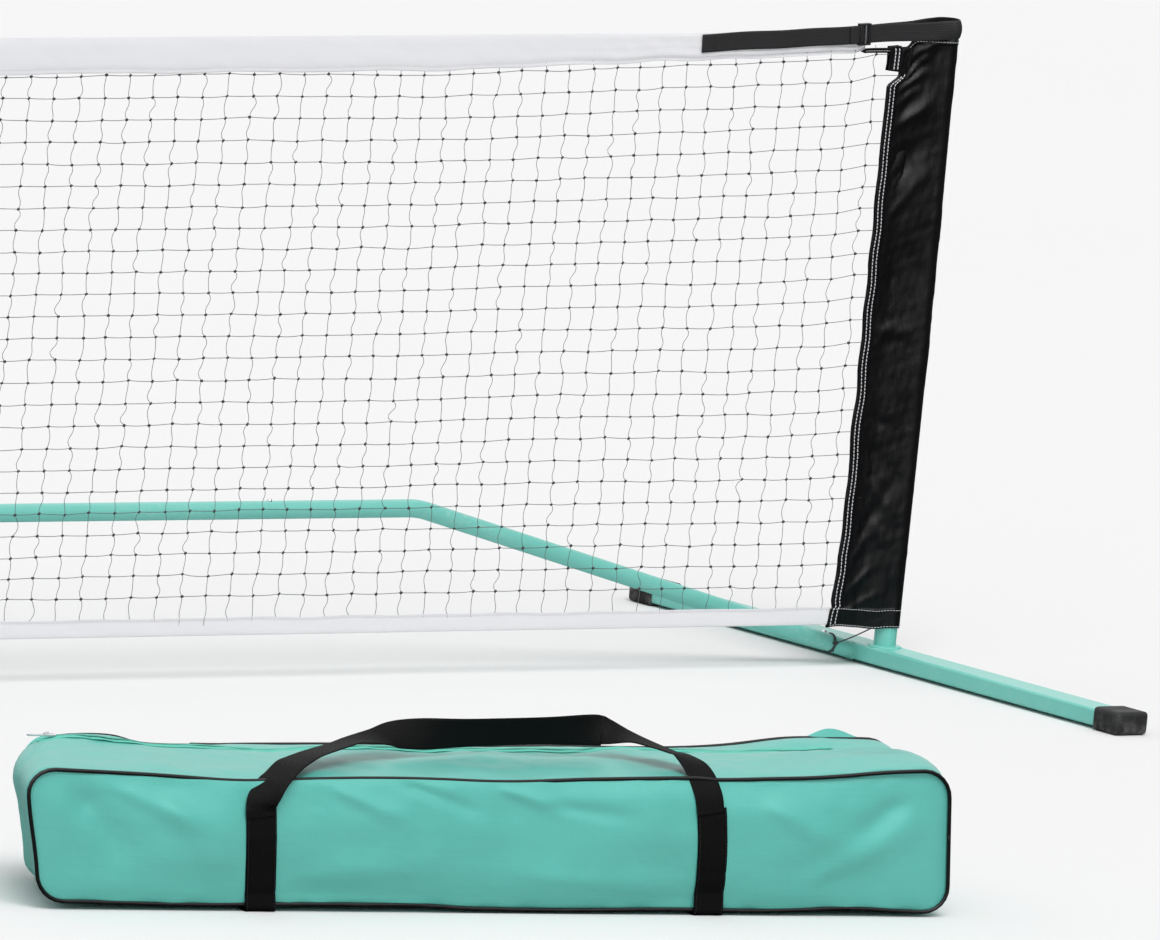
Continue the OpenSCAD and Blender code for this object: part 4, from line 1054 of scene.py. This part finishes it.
def atBag(local):
    # the bag is drawn 1.08 m long; here it is brought to its size, with the slight lean that its load gives it
    t = math.radians(bag["turn"])
    x, y, z = (local[..., k] * bag["scale"][k] for k in range(3))
    x = x - bag["lean"] * (z - 0.05)
    return stack(bag["x"] + x * math.cos(t) - y * math.sin(t), bag["y"] + x * math.sin(t) + y * math.cos(t), z)


def bagWay(way):
    # a direction of the drawn bag, turned and sized like its points
    return atBag(np.array(way, float)) - atBag(np.zeros(3))


def bagWeb(path, across, width, thick=bag["webThick"]):
    # webbing in the drawn bag's own frame
    return webbing(atBag(path), bagWay(across), width, thick)


def outline(count):
    # rounded rectangle from the right-hand middle round, evenly spaced by way, as x, z and outward normal
    a = np.linspace(0, np.pi / 2, 24)
    hx, hz, r = bag["half"], (bag["high"] - bag["low"]) / 2, bag["corner"]
    arcs = [stack((hx - r) * sx + r * np.cos(a + k * np.pi / 2), (hz - r) * sz + r * np.sin(a + k * np.pi / 2))
            for k, (sx, sz) in enumerate(((1, 1), (-1, 1), (-1, -1), (1, -1)))]
    pts = spaced(np.vstack([[[hx, 0]], *arcs, [[hx, 0]]]), count + 1)
    along = unit(np.gradient(np.vstack([pts[-2:-1], pts, pts[1:2]]), axis=0))[1:-2]
    pts = pts[:-1] + [0, hz + bag["low"]]
    return pts, stack(along[:, 1], -along[:, 0])


# height of the sewn edges' tops over their drawn line, as pairs of place and rise in millimetres
frontEdge = [(-600, 0), (-560, -1), (-500, -3.1), (-400, -8.8), (-310, -13.4), (-240, -11.7), (-85, -8.8),
             (20, -9.8), (120, -6), (225, -3), (270, -5.2), (360, -3.4), (410, 0), (465, 6), (515, 8.6), (560, 8),
             (600, 7.8)]
rearEdge = [(-600, -14), (-560, -14), (-520, -9), (-485, -1), (-440, 1), (-395, -1), (-355, -9.5), (-300, -10),
            (-236, -7.3), (-136, -6.6), (73, -6.5), (240, -5), (333, -1), (414, 9), (473, 11), (518, 11), (560, 9),
            (600, 8)]
edgeLines = [spline(np.array([[*key, 0] for key in keys]) / 1000, 500) for keys in (frontEdge, rearEdge)]


def edgeDrift(x, z, rear):
    # how the sewn edges leave the drawn outline, sideways and in height
    up, low = ease(z, 0.03, 0.15), ease(z, 0.15, 0.02)
    line = edgeLines[int(rear)]
    wave = 0.0008 * ripple(stack(x + 3.1 * rear, z * 0.2), 61, 0.30, 6)
    foot = 0.0008 * (1 + ripple(stack(x + 5.3 * rear), 62, 0.25, 6))
    if rear:
        foot = foot + 0.0055 * ease(np.abs(x), 0.38, 0.54)
    else:
        foot = foot + 0.0030 * ease(-x, 0.02, 0.10) + 0.0045 * bell(x, 0.42, 0.07)
    side = ease(-x, 0.40, 0.54) * (0.0115 * low - 0.0055) + 0.0055 * ease(x, 0.40, 0.54)
    if rear:
        side = side + bag["skew"] + 0.045 * ease(-x, 0.36, 0.54)
    return side, (np.interp(x, line[:, 0], line[:, 1]) + wave) * up + foot * (1 - up)


frontFolds = np.array([(-500, 150, -420, 50, 20, -4.5), (-460, 150, -300, 85, 14, 3), (-400, 135, -310, 45, 18, 2.6),
                       (-200, 150, -100, 105, 10, 3), (-120, 155, -20, 118, 8, -2.6), (0, 150, 90, 120, 8, 2.6),
                       (50, 130, 170, 115, 10, -2.2), (310, 140, 420, 80, 16, 3), (360, 40, 520, 115, 16, 2.8),
                       (500, 145, 420, 90, 14, -3), (-250, 40, -50, 60, 16, 1.6), (30, 45, 220, 35, 14, 1.6)]) / 1000


def panelBulge(x, z, rear):
    # the panel stands out most in the middle and runs flat into its sewn edge
    a = 1 - np.clip(np.abs(x) / bag["half"], 0, 1) ** 6
    b = 1 - np.clip(np.abs(z - bag["mid"]) / bag["halfHigh"], 0, 1) ** 2.2
    swell = bag["bulge"] * (a * b) ** 0.78
    pos = stack(x + 4.7 * rear, z * 1.6)
    inside = np.clip(a * b * 2.4, 0, 1)
    lines = 1.5 * folds(-x if rear else x, z, frontFolds)
    waves = ripples(pos, 71, (0.0020, 0.22, 9), (0.0007, 0.075, 9), (0.0001, 0.028, 9))
    # puckers along the sewn edge
    pucker = 0.0006 * np.sin(x / 0.0105 + 2 * ripple(pos, 74, 0.2, 5)) * bell(b, 0.12, 0.12)
    toBand = np.minimum(*(np.abs(x - x0) for x0 in bag["bands"]))
    press = -0.0012 * np.exp(-(toBand / 0.022) ** 4)
    return swell + inside * (lines + waves + press) + pucker


def gussetLift(x, y, z):
    # the strip between the panels: a low crown on top, full ends, and puffed rear corners
    x, y, z = np.broadcast_arrays(x, y, z)
    share = np.clip(y / bag["deep"], 0, 1)
    arch = (4 * share * (1 - share)) ** 0.6
    top = ease(z, 0.10, 0.160)
    under = 1 - ease(z, 0.0, 0.03)
    pos = stack(x, y * 1.4 + 2.0, z * 0.6)
    ends = ease(np.abs(x), 0.40, 0.53)
    lift = bag["crown"] * arch * top + 0.005 * arch * (1 - top) * (1 - under)
    lift = lift + 0.006 * ends * top * bell(share, 0.72, 0.22) * ease(x, 0.50, 0.30)
    # a valley along the zip
    lift = lift - 0.0085 * ease(x, 0.28, 0.42) * top * bell(share, 0.747, 0.12)
    lift = lift + arch * (1 - under) * ripples(pos, 81, (0.0026, 0.20, 9), (0.0012, 0.07, 9), (0.0004, 0.028, 8))
    return lift + 0.0008 * np.sin(x / 0.012 + 2 * ripple(pos, 84, 0.2, 5)) * bell(share, 0.05, 0.05) * top


def panelRings(flat, q, rear):
    # rings that shrink from the sewn edge to a level line along the panel's middle
    dx, dz = edgeDrift(flat[:, 0], flat[:, 1], rear)
    q = q[:, None]
    x = flat[None, :, 0] * (0.85 + 0.15 * q) + dx * q
    z = bag["mid"] + (flat[None, :, 1] + dz - bag["mid"]) * q
    y = panelBulge(x, z, rear)
    if rear:
        # the rear cloth swells over its own sewn edge near the top corners
        puff = ease(z, 0.10, 0.158) * (bell(x, 0.505, 0.036) + 0.55 * bell(x, -0.440, 0.026))
        puff = puff * np.sin(np.pi * np.clip((1 - q) / 0.22, 0, 1)) ** 0.7
        y, z = y + 0.010 * puff, z + 0.020 * puff
    return stack(x, bag["deep"] + y if rear else -y, z)


def bagShell(count=420):
    # rings from the front panel's middle line out to its edge, over the gusset, and in again on the rear panel
    flat, out = outline(count)
    q = np.r_[0, np.linspace(0.03, 0.93, 40), np.linspace(0.945, 1.0, 7)]
    share = np.r_[0.02, 0.05, np.linspace(0.09, 0.91, 26), 0.95, 0.98][:, None]
    front, rear = panelRings(flat, q, 0), panelRings(flat, q[::-1], 1)
    x, z = flat[None, :, 0], flat[None, :, 1]
    lift = gussetLift(x, share * bag["deep"], z)
    f, r = edgeDrift(x, z, 0), edgeDrift(x, z, 1)
    # under the front edge the cloth slumps forward and down to the ground
    slump = ease(z, 0.014, 0.0) * np.sin(np.pi * np.clip(share / 0.16, 0, 1))
    strip = stack(x + f[0] * (1 - share) + r[0] * share + out[None, :, 0] * lift, share * bag["deep"] - 0.0055 * slump,
                  z + f[1] * (1 - share - slump) + r[1] * share + out[None, :, 1] * lift)
    pts = np.concatenate([front, strip, rear])
    pts[..., 2] = np.maximum(pts[..., 2], 0.0032)
    face = [np.concatenate([p, p[:, :1]], 1)[..., [0, 2]] for p in (front, rear)]
    girth = stack(np.linspace(0, 2.4, count + 1)[None], share * bag["deep"])
    uv = np.concatenate([face[0], girth, face[1], face[1][-1:]])
    return atBag(pts), uv


pts, uv = bagShell()
addPiece("bagShellCloth", [gridSurface(pts, closeCols=True, uv=uv, flip=True)], "bag", "bag_shell", "bag", weld=True)

flat, _ = outline(300)
shapes = []
for rear, y in ((0, -0.0026), (1, bag["deep"] + 0.0026)):
    dx, dz = edgeDrift(flat[:, 0], flat[:, 1], rear)
    path = stack(flat[:, 0] + dx, y, np.maximum(flat[:, 1] + dz + 0.0003, 0.0046))
    shapes.append(tubes(atBag(np.vstack([path, path[:2]])), bag["piping"], 8, ref=bagWay([0, 1, 0])))
addPiece("bagPipingCord", shapes, "piping", "bag_piping", "bag")
print("bag filled")


def bandPath(x0):
    # webbing up the front panel, under the bag and up the rear one, lying on the cloth
    deep = bag["deep"]

    def face(rear, top):
        # one panel's stretch, from the ground up
        z = np.linspace(0.006, top, 40)
        reach = np.maximum(panelBulge(np.full(40, x0), z, rear) + bag["webThick"] / 2 + 0.0004, 0.0062)
        return stack(deep + reach if rear else -reach, z)
    under = [[-0.0050, 0.0016], [0.004, 0.0012], [0.095, 0.0012], [deep - 0.004, 0.0012], [deep + 0.0050, 0.0016]]
    topRear = [[deep + 0.0068, 0.1495], [deep + 0.0062, 0.157]]
    path = np.vstack([face(0, 0.128)[::-1], under, face(1, 0.150), topRear])
    path = np.insert(path, 0, x0, axis=1)
    path[:, 0] += bag["skew"] * np.clip(path[:, 1] / deep, 0, 1)
    path[:, 0] += (0.0025 if x0 > 0 else 0.0050 * ease(path[:, 2], 0.125, 0.0) - 0.002) * (path[:, 1] < 0.05)
    return spaced(path, 220)


shapes, rows = [], []
for x0 in bag["bands"]:
    path = bandPath(x0)
    path[:, 0] += 0.002 * np.sin(np.linspace(0, 9, len(path))) * np.sign(x0)
    shapes.append(bagWeb(path, [1, 0, 0], bag["webWide"]))
    for dx in (-0.0155, 0.0155):
        for line, face in ((path[69::-1], -1), (path[-70:], 1)):
            row = atBag(line + [dx, face * bag["webThick"] * 0.52, 0])
            rows.append(stitchRow(row, bagWay([0, face, 0]), "bagBand"))
addPiece("bagBandWebs", shapes, "bagWeb", "bag_bands", "bag")
addPiece("bagBandStitches", rows, "threadBlack", body="bag")


def handlePath(count=320):
    # the front handle: sewn on a band, over the edge, edge on, then flat along the top, and the same way down
    keys = np.array([[-283, -15.2, 112], [-283.2, -15, 120.5], [-280.4, -14.8, 132.6], [-268.4, -11.2, 150],
                     [-255.9, -3.5, 159], [-238.1, 9, 169], [-221.6, 20, 173.8], [-202.3, 32, 178.3],
                     [-179.1, 46, 181.5], [-158.3, 58, 183.9], [-134.4, 70, 187.5], [-97.5, 84, 189.8],
                     [-67.3, 90.5, 192.2], [-8.3, 92.5, 194], [51.4, 93, 196.4], [110.7, 92.5, 198.8],
                     [151.6, 90.5, 200.8], [167.1, 88, 201.2], [173.9, 85, 200.6], [197.6, 72, 196.1],
                     [216.5, 55, 189.9], [229.4, 38, 185.6], [236.6, 28, 184], [242.1, 13, 176.5],
                     [244.9, 3.5, 168.6], [246.3, -4, 159.9], [249.3, -11.8, 142.3], [250.3, -15.2, 121.9]]) / 1000
    wide = [[1, 0, 0], [1, 0, 0], [0.95, -0.3, -0.08], [0.68, -0.7, -0.2], [0.52, -0.84, -0.16],
            [0.46, -0.88, -0.14], [0.38, -0.92, -0.04], [0.33, -0.94, 0.05], [0.3, -0.95, 0.08],
            [0.26, -0.96, 0.09], [0.22, -0.97, 0.02], [0.15, -0.92, -0.36], [0.02, -0.5, -0.86], [0, 0.15, -0.98],
            [0, 0.3, -0.95], [0, 0.25, -0.97], [0, 0, -1], [-0.12, -0.28, -0.94], [-0.28, -0.55, -0.78],
            [-0.5, -0.85, -0.2], [-0.65, -0.76, 0.03], [-0.74, -0.66, 0.12], [-0.83, -0.54, 0.08],
            [-0.95, -0.28, -0.08], [-0.98, -0.12, -0.12], [-1, -0.04, -0.12], [-1, 0, -0.06], [-1, 0, 0]]
    return spline(keys, count), unit(spline(wide, count))


def hangingPath(count=260):
    # over the ends of the bands, down behind the bag, and across in a slack curve
    keys = np.array([[-264, 196.2, 140], [-264, 197.5, 152], [-264, 201.5, 157.2], [-264, 206.8, 154],
                     [-262, 207.8, 140], [-254, 208.8, 112], [-224, 210.5, 90], [-170, 212, 73],
                     [-110, 212.5, 67.5], [-40, 212.8, 66]]) / 1000
    wide = np.array([[1, 0, 0], [1, 0, 0], [1, 0, 0], [1, 0, 0], [1, 0, 0.1], [0.9, 0, 0.45], [0.62, 0, 0.8],
                     [0.25, 0.02, 1], [0.06, 0.03, 1], [0, 0.03, 1]], float)
    path = spline(np.vstack([keys, keys[::-1] * [-1, 1, 1]]), count)
    path[:, 0] += bag["skew"] + sum(bag["bands"]) / 2
    return path, unit(spline(np.vstack([wide, wide[::-1] * [-1, 1, 1]]), count))


for label, (path, across) in (("Front", handlePath()), ("Rear", hangingPath())):
    path[:, 1] += 0.0006 * ripple(path[:, :1], 91, 0.12, 4)
    addPiece("bag" + label + "HandleWeb", [bagWeb(path, across, bag["webWide"] - 0.003)], "bagWeb",
             "bag_" + label.lower() + "_handle", "bag")

# zip: tape that lies on the crown, two rows of teeth, and the slider with its pull
zipper = {"y": 0.142, "half": 0.480, "wide": 0.028, "pitch": 0.0022, "teethFrom": 0.0030, "teethLong": 0.0034}


def crownZ(x, y):
    # height of the crown's cloth over a place: where that cloth was drawn before it drifted, less the corner's fall
    flatZ = np.full(np.shape(x), bag["high"])
    share, drawn = y / bag["deep"], x
    for _ in range(4):
        drawn = x - edgeDrift(drawn, flatZ, 0)[0] * (1 - share) - edgeDrift(drawn, flatZ, 1)[0] * share
    past = np.clip(np.abs(drawn) - bag["half"] + bag["corner"], 0, bag["corner"])
    fall = bag["corner"] - np.sqrt(bag["corner"] ** 2 - past ** 2)
    d0, d1 = edgeDrift(drawn, flatZ, 0)[1], edgeDrift(drawn, flatZ, 1)[1]
    return flatZ - fall + d0 * (1 - share) + d1 * share + gussetLift(drawn, y, flatZ)


x = np.linspace(-zipper["half"] + 0.010, zipper["half"], 300)
tooth = np.arange(-zipper["half"] + 0.014, zipper["half"] - 0.004, zipper["pitch"])
share = np.array([0.0, 0.35, 0.75, 1.0])
tape, teeth = [], []
for face in (-1, 1):
    y = zipper["y"] + face * (zipper["wide"] / 4 + 0.0004) + 0 * x
    path = stack(x, y, crownZ(x, y) + 0.0005)
    tape.append(bagWeb(path, [0, 1, 0], zipper["wide"] / 2 - 0.001, 0.0009))
    xt = tooth + (face > 0) * zipper["pitch"] / 2
    z = crownZ(xt, np.full(len(xt), zipper["y"])) + 0.0013
    y = zipper["y"] + face * (zipper["teethFrom"] - zipper["teethLong"] * share)
    paths = stack(xt[:, None], y, z[:, None])
    teeth.append(tubes(atBag(paths), np.array([0.0005, 0.00075, 0.0007, 0.0004]), 4))
addPiece("bagZipTape", tape, "zipTape", "bag_zip", "bag")
addPiece("bagZipTeeth", teeth, "teeth", body="bag")
softened("zip_slider", "steel", "zip_slider_body", 0.0004)
print("bag sewn")

# floor, light and camera

reach = 160.0
corners = np.array([[[-reach, -reach, 0], [reach, -reach, 0]], [[-reach, reach, 0], [reach, reach, 0]]])
floor = linked("floor", buildMesh("floor", [gridSurface(corners - [0, 0, 0.0002], flip=True)]))
mat, s, at, _ = newMaterial("studioFloor", Roughness=0.9, Specular_IOR_Level=0.1)
shown = blend(noise(at, 0.6, 2.0), (0.872, 0.871, 0.874, 1), (0.888, 0.887, 0.890, 1))
# glossy rays see the floor nearly black, so shiny surfaces reflect a darkened floor, part of the dim room they reflect
feed(s, Base_Color=blend(wires(node(at.tree, "LightPath"))["Is Glossy Ray"], shown, (0.05, 0.05, 0.052, 1)))
floor.data.materials.append(mat)

studio = {"sky": 0.70, "horizon": 0.12, "seen": 0.925, "shineLow": 0.06, "shineTop": 0.9, "shineBack": 0.80,
          "boxes": (((-0.12, -0.80, 0.58), 0.74, 0.93, 2.2), ((-0.90, 0.10, 0.38), 0.80, 0.94, 1.3)),
          "suns": (("keyLight", -20, 60, 1.60, 36), ("fillLight", -50, 16, 0.36, 60))}


def lightWorld(tree):
    # a sky that brightens upwards lights the scene, the camera sees an even pale one, and what shines in glossy
    # surfaces is a dim room with a bright ceiling, a bright wall and two soft boxes
    def background(strength, level=1.0):
        # an even grey light
        return wire(tree, "Background", {"Color": (level, level, level, 1), "Strength": strength})
    tree.nodes.clear()
    look = wires(node(tree, "TexCoord"))["Generated"]
    _, y, z = parts(look)
    shine = z.span(0.25, 0.95, studio["shineLow"], studio["shineTop"])
    for way, low, high, strength in studio["boxes"]:
        toBox = wire(tree, "VectorMath", {0: look, 1: way}, out="Value", operation="DOT_PRODUCT")
        shine = shine + toBox.span(low, high, 0.0, strength)
    shine = shine + y.span(0.10, 0.60, 0.0, studio["shineBack"])
    ray = wires(node(tree, "LightPath"))
    sky = background(z.span(-0.1, 0.9, studio["horizon"], studio["sky"]))
    lit = wire(tree, "MixShader", {0: ray["Is Glossy Ray"], 1: sky, 2: background(shine)})
    feed(tree.nodes.new("ShaderNodeOutputWorld"),
         Surface=wire(tree, "MixShader", {0: ray["Is Camera Ray"], 1: lit, 2: background(1.0, studio["seen"])}))


def addSun(name, turnDeg, highDeg, strength, softDeg):
    # a soft sun that shines from a turn to the left or right of the front and a height over the floor
    lamp = bpy.data.lights.new(name, "SUN")
    lamp.energy, lamp.angle = strength, math.radians(softDeg)
    thing = linked(name, lamp)
    a, h = math.radians(turnDeg), math.radians(highDeg)
    way = np.array([math.sin(a) * math.cos(h), -math.cos(a) * math.cos(h), math.sin(h)])
    thing.rotation_mode = "QUATERNION"
    thing.rotation_quaternion = Vector(way).to_track_quat("Z", "Y")
    thing.location = way * 12


world = bpy.context.scene.world or bpy.data.worlds.new("studio")
bpy.context.scene.world = world
world.use_nodes = True
lightWorld(world.node_tree)
for sun in studio["suns"]:
    addSun(*sun)

camera = {"at": (-10.883, -16.997, 3.236), "yaw": 38.77, "down": 7.70, "roll": 5.58, "sensor": 36, "far": 400,
          "focal": 15724.0 / 1160 * 36}
yaw, down, roll = (math.radians(camera[k]) for k in ("yaw", "down", "roll"))
ahead = np.array([math.sin(yaw) * math.cos(down), math.cos(yaw) * math.cos(down), -math.sin(down)])
right = np.array([math.cos(yaw), -math.sin(yaw), 0])
above = np.cross(right, ahead)
right, above = math.cos(roll) * right + math.sin(roll) * above, -math.sin(roll) * right + math.cos(roll) * above
cam = linked("camera", bpy.data.cameras.new("camera"))
cam.data.sensor_width, cam.data.lens, cam.data.clip_end = camera["sensor"], camera["focal"], camera["far"]
turned = Matrix([[*row, 0] for row in stack(right, above, -ahead).tolist()] + [[0, 0, 0, 1]])
cam.matrix_world = Matrix.Translation(camera["at"]) @ turned
bpy.context.scene.camera = cam
bpy.context.scene.view_settings.view_transform = "Standard"
print("studio lit")
